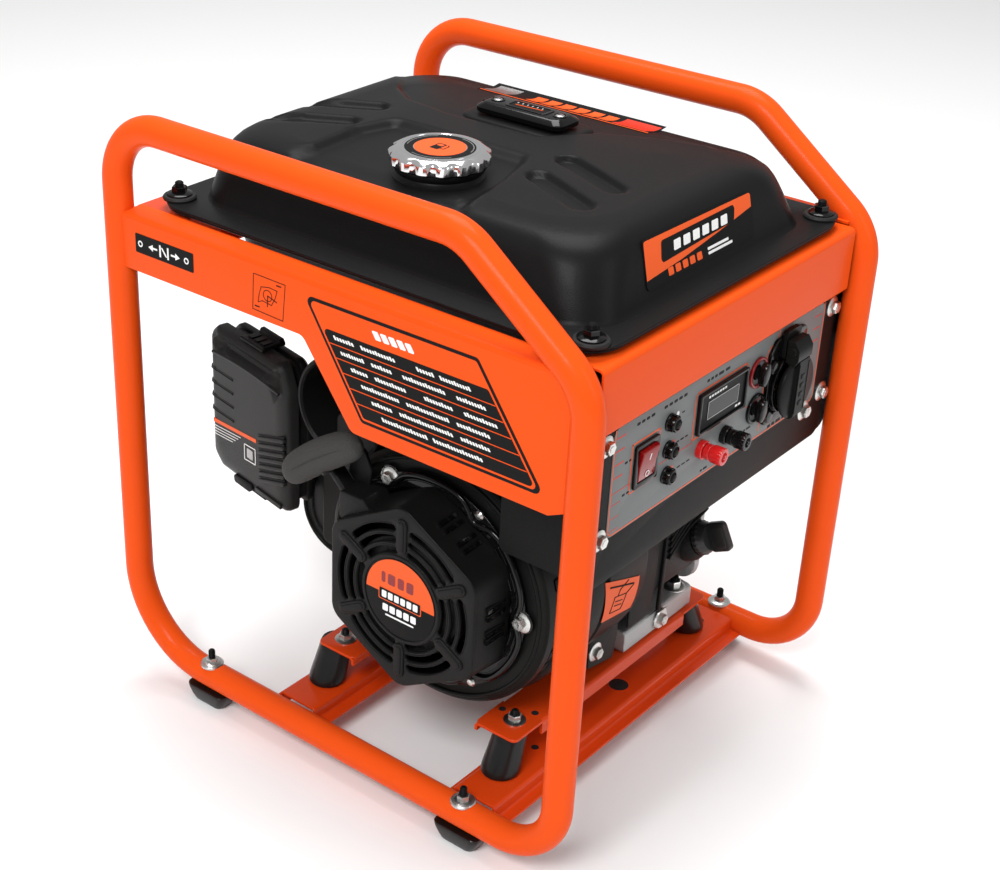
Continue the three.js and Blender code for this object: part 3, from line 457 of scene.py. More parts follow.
def sheet(grid, columns, rows):
    """A thin closed sheet: a grid of points for its upper side, then the same grid for its lower side."""
    step = (columns + 1) * (rows + 1)
    faces = []
    for i in range(columns):
        for j in range(rows):
            a = i * (rows + 1) + j
            faces.append([a, a + rows + 1, a + rows + 2, a + 1])
            faces.append([step + a, step + a + 1, step + a + rows + 2, step + a + rows + 1])
    rim = [i * (rows + 1) for i in range(columns + 1)]
    rim += [columns * (rows + 1) + j for j in range(1, rows + 1)]
    rim += [i * (rows + 1) + rows for i in range(columns - 1, -1, -1)]
    rim += [j for j in range(rows - 1, 0, -1)]
    for a, b in zip(rim, rim[1:] + rim[:1]):
        faces.append([a, step + a, step + b, b])
    return grid, faces


UP = Matrix.Identity(4)


class Piece:
    """Collects shapes into one named piece that rides on a CAD body, with a usual finish and place."""

    def __init__(self, name, body="frame", tint=None, at=None):
        self.name = name
        self.body = body
        self.tint = tint
        self.at = at
        self.verts = []
        self.faces = []
        self.marks = []
        self.finishes = []

    def add(self, shape, tint=None, at=None):
        """Adds a shape in a finish and a place of its own, or in the piece's usual ones."""
        finish_name = tint or self.tint
        at = self.at if at is None else at
        if finish_name not in self.finishes:
            self.finishes.append(finish_name)
        mark = self.finishes.index(finish_name)
        base = len(self.verts)
        verts, faces = shape
        flip = at is not None and at.determinant() < 0
        for v in verts:
            self.verts.append((at @ v if at is not None else v) * MM)
        for face in faces:
            order = face[::-1] if flip else face
            self.faces.append([base + k for k in order])
            self.marks.append(mark)
        return self

    def build(self, replaces=(), bevel=0.0, smooth=30):
        mesh = bpy.data.meshes.new(self.name)
        mesh.from_pydata([tuple(v) for v in self.verts], [], self.faces)
        for name in self.finishes:
            mesh.materials.append(FINISH[name])
        for polygon, mark in zip(mesh.polygons, self.marks):
            polygon.material_index = mark
        solid = bmesh.new()
        solid.from_mesh(mesh)
        bmesh.ops.recalc_face_normals(solid, faces=solid.faces)
        solid.to_mesh(mesh)
        solid.free()
        mesh.shade_smooth()
        mesh.set_sharp_from_angle(angle=math.radians(smooth))
        piece = bpy.data.objects.new(self.name, mesh)
        bpy.context.collection.objects.link(piece)
        if bevel:
            edge = piece.modifiers.new("bevel", "BEVEL")
            edge.width = bevel * MM
            edge.segments = 2
            edge.limit_method = "ANGLE"
            edge.angle_limit = math.radians(35)
            edge.harden_normals = True
        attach(piece, self.body)
        if replaces:
            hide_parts(*replaces)
        return piece


# ---------- fasteners ----------
def hexagon(radius):
    return [Vector((radius * math.cos(TAU * k / 6), radius * math.sin(TAU * k / 6))) for k in range(6)]


def bolt(piece, at, size=6, washer=True, stud=0, metal="zinc"):
    """A flanged hexagon bolt or nut standing along local Z; stud adds a black thread through it."""
    across = size * 0.92
    height = size * 0.72
    if washer:
        piece.add(
            lathe(
                [
                    (0, 0), (size * 1.5, 0), (size * 1.5, size * 0.16), (size * 1.1, size * 0.34),
                    (0, size * 0.34)
                ],
                32
            ),
            metal, at
        )
    base = size * 0.3 if washer else 0
    head = loft(
        [
            level(hexagon(across), base), level(hexagon(across), base + height * 0.85),
            level(hexagon(across * 0.9), base + height)
        ]
    )
    piece.add(head, metal, at)
    if stud:
        top = base + height + stud
        thread = [(0, base)]
        z = base + 0.2
        while z < top - 1:
            thread.append((size * 0.46, z))
            thread.append((size * 0.52, z + 0.4))
            z += 0.8
        thread += [(size * 0.46, top - 0.6), (size * 0.34, top), (0, top)]
        piece.add(lathe(thread, 20), "black_and_shade", at)
    else:
        piece.add(
            lathe(
                [
                    (0, base + height - 0.3), (size * 0.5, base + height - 0.3),
                    (size * 0.44, base + height + 0.35), (0, base + height + 0.2)
                ],
                20
            ),
            metal, at
        )


def at_up(x, y, z):
    return Matrix.Translation((x, y, z))


def at_near(x, y, z):
    return Matrix.Translation((x, y, z)) @ NEAR


def at_front(x, y, z):
    return Matrix.Translation((x, y, z)) @ FRONT


def at_far(x, z):
    """Local Z points to +Y with X kept along +X; heights are distances from the middle plane."""
    return Matrix.Translation((x, 0, z)) @ FAR


# ---------- tube frame ----------
TUBE = 11.0
HOOP_X = 207.0
HOOP_Y = 174.0
HOOP_LOW = 25.2
HOOP_TOP = 464.0
SIDES = (("near", -1), ("far", 1))


def hoop_line(steps=16):
    corners = [
        (-HOOP_X, HOOP_LOW, 72),
        (HOOP_X, HOOP_LOW, 47),
        (HOOP_X, 388.7, 45),
        (106.6, HOOP_TOP, 45),
        (-HOOP_X, HOOP_TOP, 45),
    ]
    return rounded(corners, steps)


def add_hoops():
    for side, sign in SIDES:
        y = sign * HOOP_Y
        hoop = Piece(f"hoop_tube_{side}", tint="orange")
        hoop.add(tube([(p.x, y, p.y) for p in hoop_line()], TUBE, 40, closed=True))
        hoop.build([f"hoop_{side}"], smooth=40)


add_hoops()


# ---------- side panels, rails and their labels ----------
PANEL_Y = 180.0
PANEL_THICK = 1.8
PANEL_TOP = 399.0
PANEL_END = 197.6


def panel_outline():
    return rounded([
        (-PANEL_END, 395.8), (-PANEL_END, 356.5), (-22, 356.5, 8), (22.5, 298.5, 8),
        (186, 298.5), (PANEL_END, 304), (PANEL_END, 395.8),
    ])


def fold_section(sign):
    """Top fold of a side panel: the bend and the flange that turns inwards."""
    bend = 3.2
    outer = []
    inner = []
    for k in range(7):
        a = math.pi / 2 * k / 6
        y = PANEL_Y - bend + bend * math.cos(a)
        z = PANEL_TOP - bend + bend * math.sin(a)
        outer.append((sign * y, z))
        inner.append(
            (
                sign * (PANEL_Y - bend + (bend - PANEL_THICK) * math.cos(a)),
                PANEL_TOP - bend + (bend - PANEL_THICK) * math.sin(a)
            )
        )
    outer.append((sign * 160, PANEL_TOP))
    inner.append((sign * 160, PANEL_TOP - PANEL_THICK))
    return outer + inner[::-1]


def add_side_panels():
    for side, sign in SIDES:
        facing = NEAR if sign < 0 else place(
            (0, 0, 0), (1, 0, 0), (0, 0, 1)
        ) @ Matrix.Scale(-1, 4, (0, 0, 1))
        panel = Piece(f"side_panel_{side}_sheet", tint="orange")
        panel.add(flat([panel_outline()], PANEL_Y - PANEL_THICK, PANEL_Y, 0.4), at=facing)
        panel.add(extrude_x(fold_section(sign), -PANEL_END, PANEL_END))
        panel.build([f"side_panel_{side}"], smooth=40)


def slanted(bottom_left, bottom_right, top_right, top_left, radius=3):
    return rounded(
        [(*bottom_left, radius), (*bottom_right, radius), (*top_right, radius), (*top_left, radius)], 4
    )


def between(a, b, t):
    return (a[0] + (b[0] - a[0]) * t, a[1] + (b[1] - a[1]) * t)


def add_rating_label():
    """Four-sided rating label: black rows under a coloured head, with plain bars for its words."""
    label = Piece("rating_label", tint="black_and_shade", at=NEAR)
    bl, br, tr, tl = (32, 309.5), (183, 310.5), (126.5, 388), (-20, 387.5)
    y = PANEL_Y
    label.add(flat([slanted(bl, br, tr, tl, 4)], y + 0.05, y + 0.3))

    def inset(u, v):
        low = between(bl, br, u)
        high = between(tl, tr, u)
        return between(low, high, v)

    def band(u0, u1, v0, v1, radius=1.5):
        return slanted(inset(u0, v0), inset(u1, v0), inset(u1, v1), inset(u0, v1), radius)

    label.add(flat([band(0.018, 0.982, 0.03, 0.97, 3)], y + 0.3, y + 0.4), "orange")
    label.add(flat([band(0.03, 0.97, 0.05, 0.76, 2.5)], y + 0.4, y + 0.5))
    rows = 6
    for k in range(1, rows):
        v = 0.05 + 0.71 * k / rows
        label.add(flat([band(0.032, 0.968, v - 0.004, v + 0.004, 0)], y + 0.5, y + 0.6), "orange")
    words = [
        [(0.08, 0.2), (0.24, 0.44), (0.56, 0.66), (0.69, 0.86)],
        [(0.08, 0.22), (0.26, 0.38), (0.44, 0.68), (0.74, 0.9)],
        [(0.1, 0.2), (0.24, 0.42), (0.52, 0.68), (0.74, 0.92)],
        [(0.12, 0.34), (0.38, 0.62), (0.66, 0.84)],
        [(0.14, 0.26), (0.3, 0.6), (0.64, 0.8)],
        [(0.16, 0.42), (0.45, 0.72)],
    ]
    for row, spans in enumerate(words):
        v = 0.76 - 0.71 * (row + 0.5) / rows
        for a, b in spans:
            count = max(3, round((b - a) * 62))
            pitch = (b - a) / count
            for k in range(count):
                tall = 0.021 if (3 * k + row) % 5 == 0 else 0.0145
                u = a + pitch * k
                label.add(
                    flat([band(u, u + pitch * 0.72, v - 0.0145, v + tall, 0.25)], y + 0.5, y + 0.62),
                    "ink_white"
                )
    for k in range(5):
        u = 0.37 + 0.047 * k
        label.add(flat([band(u, u + 0.036, 0.825, 0.9, 0.8)], y + 0.4, y + 0.5), "ink_white")
    label.build()


def add_valve_label():
    """Fuel valve label: a valve sign between two arrows."""
    label = Piece("fuel_valve_label", tint="ink_white", at=NEAR)
    label.add(flat([rect(-184, -125, 372, 386.5, 0.8)], PANEL_Y + 0.05, PANEL_Y + 0.3), "black_and_shade")
    low, high = PANEL_Y + 0.3, PANEL_Y + 0.4
    middle = 379.2
    for x in (-158.5, -150.5):
        label.add(flat([rect(x - 0.8, x + 0.8, middle - 4.5, middle + 4.5)], low, high))
    label.add(
        flat(
            [[(-157.6, middle + 3), (-156, middle + 3), (-151.4, middle - 3), (-153, middle - 3)]], low,
            high
        )
    )
    for sign, x in ((-1, -161.5), (1, -147.5)):
        arrow = [(0, -0.7), (4.5, -0.7), (4.5, -2.6), (9, 0), (4.5, 2.6), (4.5, 0.7), (0, 0.7)]
        outline = [(x + sign * px, middle + py) for px, py in arrow]
        label.add(flat([outline], low, high))
    for x in (-180.5, -133.5):
        label.add(flat([ring(x + 1.6, middle, 2.4, 24), ring(x + 1.6, middle, 1.4, 24)], low, high))
    label.build()


def line(piece, points, width, low, high, finish_name, at, closed=False):
    """A printed line of even width through points."""
    pairs = list(zip(points, points[1:] + points[:1] if closed else points[1:]))
    for (x0, y0), (x1, y1) in pairs:
        piece.add(flat([capsule(x0, y0, x1, y1, width, 3)], low, high), finish_name, at)


def add_choke_label():
    """Outline drawing of a lever and its two positions."""
    label = Piece("lever_label")
    low, high = PANEL_Y + 0.05, PANEL_Y + 0.18
    frame_points = [(-66.5, 389), (-37, 388.6), (-39.5, 361.5), (-67.8, 362.5)]
    line(label, frame_points, 0.5, low, high, "black_and_shade", NEAR, True)
    lever = [
        (-62.5, 369), (-58.5, 371), (-50, 370), (-46.5, 376), (-44.5, 382), (-52, 382.5), (-59.5, 381),
        (-61.5, 375)
    ]
    line(label, lever, 0.5, low, high, "black_and_shade", NEAR, True)
    line(label, [tuple(p) for p in ring(-53.5, 376, 4, 20)], 0.5, low, high, "black_and_shade", NEAR, True)
    line(label, [(-53.5, 376), (-45, 373.5)], 0.7, low, high, "black_and_shade", NEAR)
    line(label, [(-53.5, 376), (-53.8, 368)], 0.7, low, high, "black_and_shade", NEAR)
    for x, y in ((-63.5, 365.5), (-43, 386)):
        line(label, [(x - 2, y), (x + 2, y)], 0.9, low, high, "black_and_shade", NEAR)
    label.build()


RAIL_Y = 158.7


def add_rails():
    for end, sign in (("front", 1), ("rear", -1)):
        outer = rounded([
            (155, 397), (155, 395.2), (203.7, 395.2, 2.2), (203.7, 352, 1), (195, 345.5), (196, 343.8),
            (205.5, 350, 2.2), (205.5, 397, 4.2),
        ], 6)
        section = [(sign * p.x, p.y) for p in outer]
        rail = Piece(f"{end}_rail_sheet", tint="rubber")
        # The rear rail takes the darker copy of the orange: painted shade on the side facing away.
        rail.add(extrude_y(section, -RAIL_Y, RAIL_Y), "orange_shaded" if sign < 0 else "orange")
        for y in (-135, 135):
            rail.add(
                lathe([(0, 397), (9, 397), (9, 398), (6.5, 398.2), (0, 398.2)], 32),
                at=at_up(sign * 176, y, 0)
            )
        rail.build([f"rail_{end}"], bevel=0.4, smooth=40)


add_side_panels()
add_rating_label()
add_valve_label()
add_choke_label()
add_rails()


# ---------- fuel tank ----------
FLANGE = 404.4
TANK_SKIN = [
    # height, lowest x, highest x, half width, corner radius
    (404.0, -173, 182.5, 138.5, 35),
    (405.2, -172.4, 181, 137, 34.5),
    (408.0, -172, 179.8, 136, 34.5),
    (412.0, -171.6, 178.4, 135, 35),
    (418.0, -170.9, 176.4, 133, 36),
    (425.0, -170.2, 174.2, 130.5, 37),
    (432.0, -169.2, 172, 127.6, 38),
    (438.0, -168, 169.8, 124.8, 39),
    (442.5, -166.4, 167.6, 122, 40),
    (446.2, -163.8, 164.6, 118.6, 41),
    (449.2, -160, 160.6, 114.4, 42),
    (451.2, -155.4, 155.6, 109.4, 43),
    (452.6, -149, 149, 103, 43),
    (453.4, -141, 141, 95, 42),
]
TANK_CROWN = 454.6


def capsule_fall(x, y, x0, y0, x1, y1, half, soft):
    """One inside a pressed groove between two centres, falling to nought over its soft edge."""
    direction = Vector((x1 - x0, y1 - y0))
    offset = Vector((x - x0, y - y0))
    t = max(0, min(1, offset.dot(direction) / direction.length_squared))
    distance = (offset - direction * t).length
    return smooth((half + soft - distance) / soft)


GROOVES = ((-151, -64, -105, -41), (-157, -24, -111, -1), (66, -41, 117, -63), (62, -2, 115, -24))
FAR_EDGE = (
    (-185, 112), (-160, 84), (-131, 48), (-106, 31), (-61, 24), (18, 28), (45, 66), (80, 86), (125, 100),
    (190, 122)
)


def tank_dip(x, y):
    """Depth of the pressed pockets and grooves in the tank top."""
    left = along([(-125, -88), (-46, -89), (-14, -80)], y)
    right = along([(-125, 60), (-60, 50), (-14, 37)], y)
    near = smooth((x - left + 5) / 10) * smooth((right - x + 5) / 10) * smooth((-10 - y) / 12)
    near *= smooth((y + 126) / 20)
    far = smooth((y - along(FAR_EDGE, x) + 5) / 10) * smooth((124 - y) / 16)
    groove = max(capsule_fall(x, y, *g, 5.5, 5) for g in GROOVES)
    return 5.2 * near + 4.4 * far + 4.2 * groove


def tank_ring(x0, x1, half, radius):
    """A rounded rectangle with evenly split sides, the same count of points for every size."""
    points = []
    radius = min(radius, half - 0.5, (x1 - x0) / 2 - 0.5)
    corners = [
        (x1 - radius, -half + radius, -90), (x1 - radius, half - radius, 0),
        (x0 + radius, half - radius, 90), (x0 + radius, -half + radius, 180)
    ]
    splits = (70, 120, 70, 120)
    for k, (cx, cy, start) in enumerate(corners):
        for i in range(15):
            a = math.radians(start + 90 * i / 14)
            points.append(Vector((cx + radius * math.cos(a), cy + radius * math.sin(a))))
        nx, ny, begin = corners[(k + 1) % 4]
        a = math.radians(begin)
        target = Vector((nx + radius * math.cos(a), ny + radius * math.sin(a)))
        here = points[-1].copy()
        for i in range(1, splits[k]):
            points.append(here.lerp(target, i / splits[k]))
    return points


def tank_height(x, y, base):
    return base - tank_dip(x, y) * smooth((base - 444) / 8)


def crown_height(inset):
    return 453.4 + (TANK_CROWN - 453.4) * smooth(inset / 60)


def add_tank():
    tank = Piece("tank_pressing", tint="tank")
    rings = []
    for z, x0, x1, half, radius in TANK_SKIN:
        outline = tank_ring(x0, x1, half, radius)
        rings.append([Vector((p.x, p.y, tank_height(p.x, p.y, z))) for p in outline])
    _, x0, x1, half, radius = TANK_SKIN[-1]
    steps = 44
    for k in range(1, steps + 1):
        inset = (half - 3) * k / steps
        outline = tank_ring(x0 + inset, x1 - inset, half - inset, max(radius - inset, 4))
        base = crown_height(inset)
        rings.append([Vector((p.x, p.y, tank_height(p.x, p.y, base))) for p in outline])
    tank.add(loft(rings))
    tank.add(flat([rect(-190, 199, -160, 160, 30, 14)], 402.6, FLANGE, 0.7))
    tank.add(flat([rect(-189, 198, -159, 159, 29, 14)], 400.4, 402.2, 0.7))
    pad = [
        level(rect(-66 + k, 36 - k, 31 + k, 79 - k, 15 - k, 8), z)
        for k, z in ((0, 446), (0.6, 449), (2, 451.2), (5, 452))
    ]
    tank.add(loft(pad))
    neck = [
        (0, 444), (33, 444), (33, 448.4), (30.4, 449.6), (29.6, 451), (31.4, 453.2), (32.6, 455.4),
        (32.6, 456.5), (0, 456.5)
    ]
    tank.add(lathe(neck, 64), at=at_up(4, -70, 0))
    tank.build(["tank_shell"], smooth=50)
    fasteners = Piece("tank_fasteners", tint="rubber")
    for x in (-176, 184):
        for y in (-143, 143):
            spot = at_up(x, y, FLANGE)
            fasteners.add(
                lathe([(0, 0), (12, 0), (12.4, 1.4), (11.5, 2.6), (7, 3.2), (0, 3.2)], 40), at=spot
            )
            bolt(fasteners, at_up(x, y, FLANGE + 3), 6.2, True, 3.5, "gloss")
    fasteners.build()


def add_tank_labels():
    label = Piece("tank_end_label", tint="black_and_shade")
    turn = place((178.75, 0, 412), (0, 1, 0), (-11, 0, 33))
    bl, br, tr, tl = (-74, 1.5), (58, 1), (62, 32), (-70, 34)
    label.add(flat([slanted(bl, br, tr, tl, 3)], 0, 0.5), at=turn)
    label.add(
        flat(
            [rounded([(-72.6, 8), (-30, 11), (20, 16.5), (59.5, 21.5), (60.8, 31, 2), (-69, 32.8, 2)], 4)],
            0.5, 0.62
        ),
        "ink_orange", turn
    )
    label.add(flat([slanted((-54, 14.5), (36, 18), (40, 28.5), (-50, 28.5), 2.5)], 0.62, 0.74), at=turn)
    for k in range(6):
        x = -38 + k * 11.5
        label.add(
            flat([slanted((x, 18.5), (x + 8, 18.5), (x + 9.6, 25), (x + 1.6, 25), 0.8)], 0.74, 0.84),
            "ink_white", turn
        )
    for k in range(5):
        x = -48 + k * 8.6
        label.add(flat([rect(x, x + 6, 4.4, 9.6, 0.8, 2)], 0.5, 0.62), "ink_orange", turn)
    for row, length in ((8.6, 26), (5.6, 30)):
        label.add(flat([rect(0, length, row - 0.9, row + 0.9, 0.4, 2)], 0.5, 0.62), "ink_white", turn)
    label.build()
    decal = Piece("tank_top_decal")

    def patch(x0, x1, y0, y1, lift, finish_name, skew=0.0):
        columns = max(2, int((x1 - x0) / 3))
        rows = 6
        grid = []
        for side_lift in (lift, lift - 0.25):
            for i in range(columns + 1):
                for j in range(rows + 1):
                    y = y0 + (y1 - y0) * j / rows
                    x = x0 + (x1 - x0) * i / columns + skew * (j / rows - 0.5)
                    grid.append(Vector((x, y, tank_height(x, y, decal_base(y)) + side_lift)))
        decal.add(sheet(grid, columns, rows), finish_name)

    def decal_base(y):
        inset = 103 - abs(y)
        return along([(-12, 449.2), (-6.4, 451.2), (0, 452.6), (8, 453.4), (20, 453.7)], inset)

    patch(-92, 62, 98, 120, 0.35, "black_and_shade", 4)
    patch(-92, 62, 98, 99.4, 0.5, "ink_orange")
    patch(30, 60, 101, 117, 0.5, "ink_red", 4)
    for k in range(6):
        patch(-50 + k * 13, -40 + k * 13, 102.5, 115.5, 0.5, "ink_orange", 3)
    patch(-88, -66, 101, 117, 0.5, "steel", 5)
    decal.build()


add_tank()
add_tank_labels()


# ---------- fuel cap and gauge ----------
CAP_AT = (4, -70)


def add_cap():
    low, high = box_mm("fuel_cap")
    radius = (high.x - low.x) / 2
    lobes = 15
    cap = Piece("cap_scalloped", "fuel_cap", "polished")

    def lobed(part, a):
        share, depth, _ = part
        return radius * share - depth * (0.5 - 0.5 * math.cos(lobes * a)) ** 1.6

    z0, z1 = low.z, high.z
    # Share of the outer radius, depth of the lobes, height.
    side = [
        (0.9, 0.6, z0), (0.965, 1.6, z0 + 0.3), (1, 2.2, z0 + 1.2), (1, 2.2, z1 - 3.6),
        (0.975, 1.8, z1 - 2.5), (0.9, 0.7, z1 - 1.2), (0.86, 0, z1 - 0.5), (0.82, 0, z1 - 0.25),
    ]
    spot = at_up(*CAP_AT, 0)
    cap.add(turned(side, lobes * 14, lobed), at=spot)
    top = z1 - 0.25
    cap.add(
        lathe(
            [
                (27.5, top - 0.6), (27.5, top + 0.15), (26.5, top + 0.25), (26.3, top - 0.1),
                (26.3, top - 0.6)
            ],
            72
        ),
        at=spot
    )
    cap.add(flat([ring(0, 0, 24.5, 72), ring(0, 0, 18.5, 72)], top - 0.4, top + 0.1), "black_and_shade", spot)
    cap.add(flat([ring(0, 0, 18, 72)], top - 0.4, top + 0.16), "ink_orange", spot)
    for start in (20, 140, 260):
        cap.add(flat([arc_slot(22.8, 0.7, start + 30, 74)], top + 0.1, top + 0.16), "steel", spot)
    cap.add(flat([rect(-5, 2, -6, 5.5, 1)], top + 0.16, top + 0.24), "black_and_shade", spot)
    cap.add(flat([rect(-3.8, 0.8, 0.8, 4.2, 0.4)], top + 0.24, top + 0.28), "ink_orange", spot)
    line(cap, [(2, -3), (5, -3), (5, 3), (3.4, 5)], 0.9, top + 0.16, top + 0.24, "black_and_shade", spot)
    cap.build(["fuel_cap"], smooth=38)
    seal = Piece("cap_seal", "cap_gasket", "rubber")
    seal.add(
        lathe(
            [
                (0, 442.3), (17.6, 442.3), (18.8, 443.4), (18.8, 453.2), (23.2, 453.4), (23.4, 456.3),
                (0, 456.3)
            ],
            48
        ),
        at=spot
    )
    for k in range(3):
        seal.add(
            lathe([(18.4, 445 + 2.6 * k), (19.6, 445.8 + 2.6 * k), (18.4, 446.6 + 2.6 * k)], 48), at=spot
        )
    seal.build(["cap_gasket"])


def add_gauge():
    low, high = box_mm("fuel_gauge")
    x0, x1, y0, y1 = low.x, high.x, low.y, high.y
    z0, z1 = low.z, high.z
    gauge = Piece("gauge_housing", tint="gloss")
    shape = [
        (0.8, z0, 7), (0, z0 + 0.8, 7.6), (0, z1 - 4.2, 7.6), (0.9, z1 - 3.2, 7), (3.6, z1 - 1.6, 6),
        (4.6, z1 - 0.8, 5.4), (6, z1 - 0.5, 4.6)
    ]
    gauge.add(loft([level(rect(x0 + k, x1 - k, y0 + k, y1 - k, r, 8), z) for k, z, r in shape]))
    window = rect(x0 + 25, x1 - 21, y0 + 9.5, y1 - 9.5, 2.2, 5)
    lip = rect(x0 + 22.5, x1 - 18.5, y0 + 7.4, y1 - 7.4, 3.6, 5)
    gauge.add(flat([lip, window], z1 - 1.2, z1 + 0.1, 0.3))
    gauge.add(flat([window], z1 - 0.8, z1 - 0.3), "black_and_shade")
    needle = [(x0 + 29, y0 + 14), (x1 - 26, y0 + 15.6)]
    line(gauge, needle, 0.8, z1 - 0.3, z1 - 0.1, "ink_orange", UP)
    for k in range(6):
        x = x0 + 28 + k * 4.4
        line(gauge, [(x, y1 - 12.4), (x, y1 - 10.8)], 0.5, z1 - 0.3, z1 - 0.1, "ink_white", UP)
    for x in (x0 + 12, x1 - 10):
        middle = (y0 + y1) / 2
        gauge.add(flat([ring(x, middle, 5.4), ring(x, middle, 4.2)], z1 - 1, z1 + 0.1, 0.25))
        gauge.add(
            lathe([(0, z1 - 0.9), (3.6, z1 - 0.9), (3.4, z1 - 0.1), (2.4, z1 + 0.4), (0, z1 + 0.5)], 28),
            "steel", at_up(x, middle, 0)
        )
        # Black line across each screw is painted shade for its slot.
        line(gauge, [(x - 2.2, middle), (x + 2.2, middle)], 0.7, z1 + 0.3, z1 + 0.56, "black_and_shade", UP)
    for k in range(4):
        gauge.add(
            flat([rect(x0 + 3 + k * 1.6, x0 + 3.7 + k * 1.6, y0 + 8, y1 - 8, 0.3, 2)], z1 - 2.4, z1 - 0.9)
        )
    gauge.build(["fuel_gauge"], smooth=38)


add_cap()
add_gauge()


# ---------- control panel and box ----------
PANEL_X = 198.0
PANEL_FACE = PANEL_X + 0.35
BREAKERS = {"ac": (50, 319), "dc": (52, 290)}


def front_bar(piece, y0, y1, z, height, finish_name):
    """A printed block on the grey face, in place of a word."""
    outline = rect(y0, y1, z - height / 2, z + height / 2, height * 0.3, 2)
    piece.add(flat([outline], PANEL_FACE, PANEL_FACE + 0.12), finish_name, FRONT)


def add_panel():
    plate = Piece("panel_plate", tint="box_black", at=FRONT)
    holes = [rect(-100.4, -80.4, 292, 318.4, 1), *(ring(y, z, 5.6, 32) for y, z in BREAKERS.values())]
    plate.add(flat([rect(-145, 160, 229, 343, 9), *holes], 196, PANEL_X, 0.5))
    flange = rounded([(-167, 229, 10), (176, 229, 14), (176, 343, 2), (-167, 343, 2)])
    plate.add(flat([flange, *holes], 194.2, 195.8, 0.4))
    plate.add(flat([rect(-129.5, 143, 262.5, 343, 6), *holes], PANEL_X, PANEL_FACE, 0.12), "grey")
    for y, z in ((-138.5, 335), (-138, 266), (153.5, 335.5), (154, 266), (129.5, 258.8)):
        bolt(plate, at_front(PANEL_X, y, z), 5.2)
    plate.build(["control_panel"], smooth=38)
    print_face = Piece("panel_print")

    def outline(loop, width, finish_name="ink_orange"):
        line(print_face, loop, width, PANEL_FACE, PANEL_FACE + 0.1, finish_name, FRONT)

    border = [
        (-128, 342), (-128, 268), (-126.4, 264.8), (-123, 263.6), (136, 263.6), (140, 264.8), (141.6, 268),
        (141.6, 342)
    ]
    outline(border, 0.9)
    outline([(-127, 295.3), (-106.6, 295.3)], 0.5, "ink_red")
    outline([(-72, 295.3), (-31.6, 295.3)], 0.5, "ink_red")
    outline([(38, 295.3), (62, 295.3)], 0.5, "ink_red")
    outline([(62, 268), (62, 329), (66, 333), (74, 333), (76, 335), (76, 342.5)], 0.9)
    outline(
        [
            (-31.6, 297), (-31.6, 330), (-29.4, 332), (33, 332), (35, 330), (35, 299), (33, 297),
            (-31.6, 297)
        ],
        1.1
    )
    outline([(-106.6, 287.4), (-106.6, 323.4), (-74.6, 323.4)], 1.2)
    outline([(-106.6, 287.4), (-74.6, 287.4), (-74.6, 323.4)], 0.9)
    for k, z in enumerate((335.6, 326, 316, 306.5, 286.5, 276.3, 266.8)):
        outline([(-126.2, z), (-116.4, z)], 0.9 if k < 4 else 0.45, "ink_red")
    for z in (335, 325, 315):
        outline([(128, z), (137, z)], 0.8, "ink_red")
    words = (
        (-103.8, 337.3, 2.6, (4.6, 4.6, 4.6, 5.2)), (-72, 337.3, 2.6, (5, 5, 5, 5, 5)),
        (-19.6, 337.4, 2.6, (4, 4, 4, 8, 7)),
        (76, 265.6, 3, (5, 5, 8, 8)), (-114.5, 313.4, 2, (4, 3)), (-114.5, 289.4, 2, (4, 4)),
        (-52, 304, 1.3, (4, 5, 4)), (-48, 283, 1.3, (5, 5, 5)), (-48.6, 325, 1.3, (4,)),
        (-15.6, 267, 2, (3, 6)), (40, 276.4, 2, (3, 7)),
    )
    for y, z, height, lengths in words:
        for length in lengths:
            front_bar(print_face, y, y + length * 0.82, z, height * 0.8, "black_and_shade")
            y += length + 0.9
    for (y, z), tint in zip(((-54, 326.4), (-56, 306), (-55, 286)), ("ink_white", "ink_red", "ink_orange")):
        print_face.add(flat([ring(y, z, 1.7, 24)], PANEL_FACE, PANEL_FACE + 0.15), tint, FRONT)
    print_face.build()


def add_box():
    low, high = box_mm("control_box")
    box = Piece("control_box_shell", tint="box_black")
    section = [(low.x, low.z, 6), (high.x, low.z, 1), (high.x, high.z, 1), (low.x, high.z, 6)]
    outer = rounded(section, 6)
    box.add(extrude_y(outer, low.y, high.y))
    for k in range(7):
        z = low.z + 18 + k * 13
        box.add(
            flat([capsule(low.y + 40, z, low.y + 150, z, 4)], -low.x, -low.x + 0.8, 0.3), "plastic", REAR
        )
    box.add(
        extrude_y(
            [
                (low.x + 14, low.z - 0.4), (high.x - 14, low.z - 0.4), (high.x - 18, low.z),
                (low.x + 18, low.z)
            ],
            low.y + 20, high.y - 20
        )
    )
    box.build(["control_box"], bevel=0.8, smooth=38)


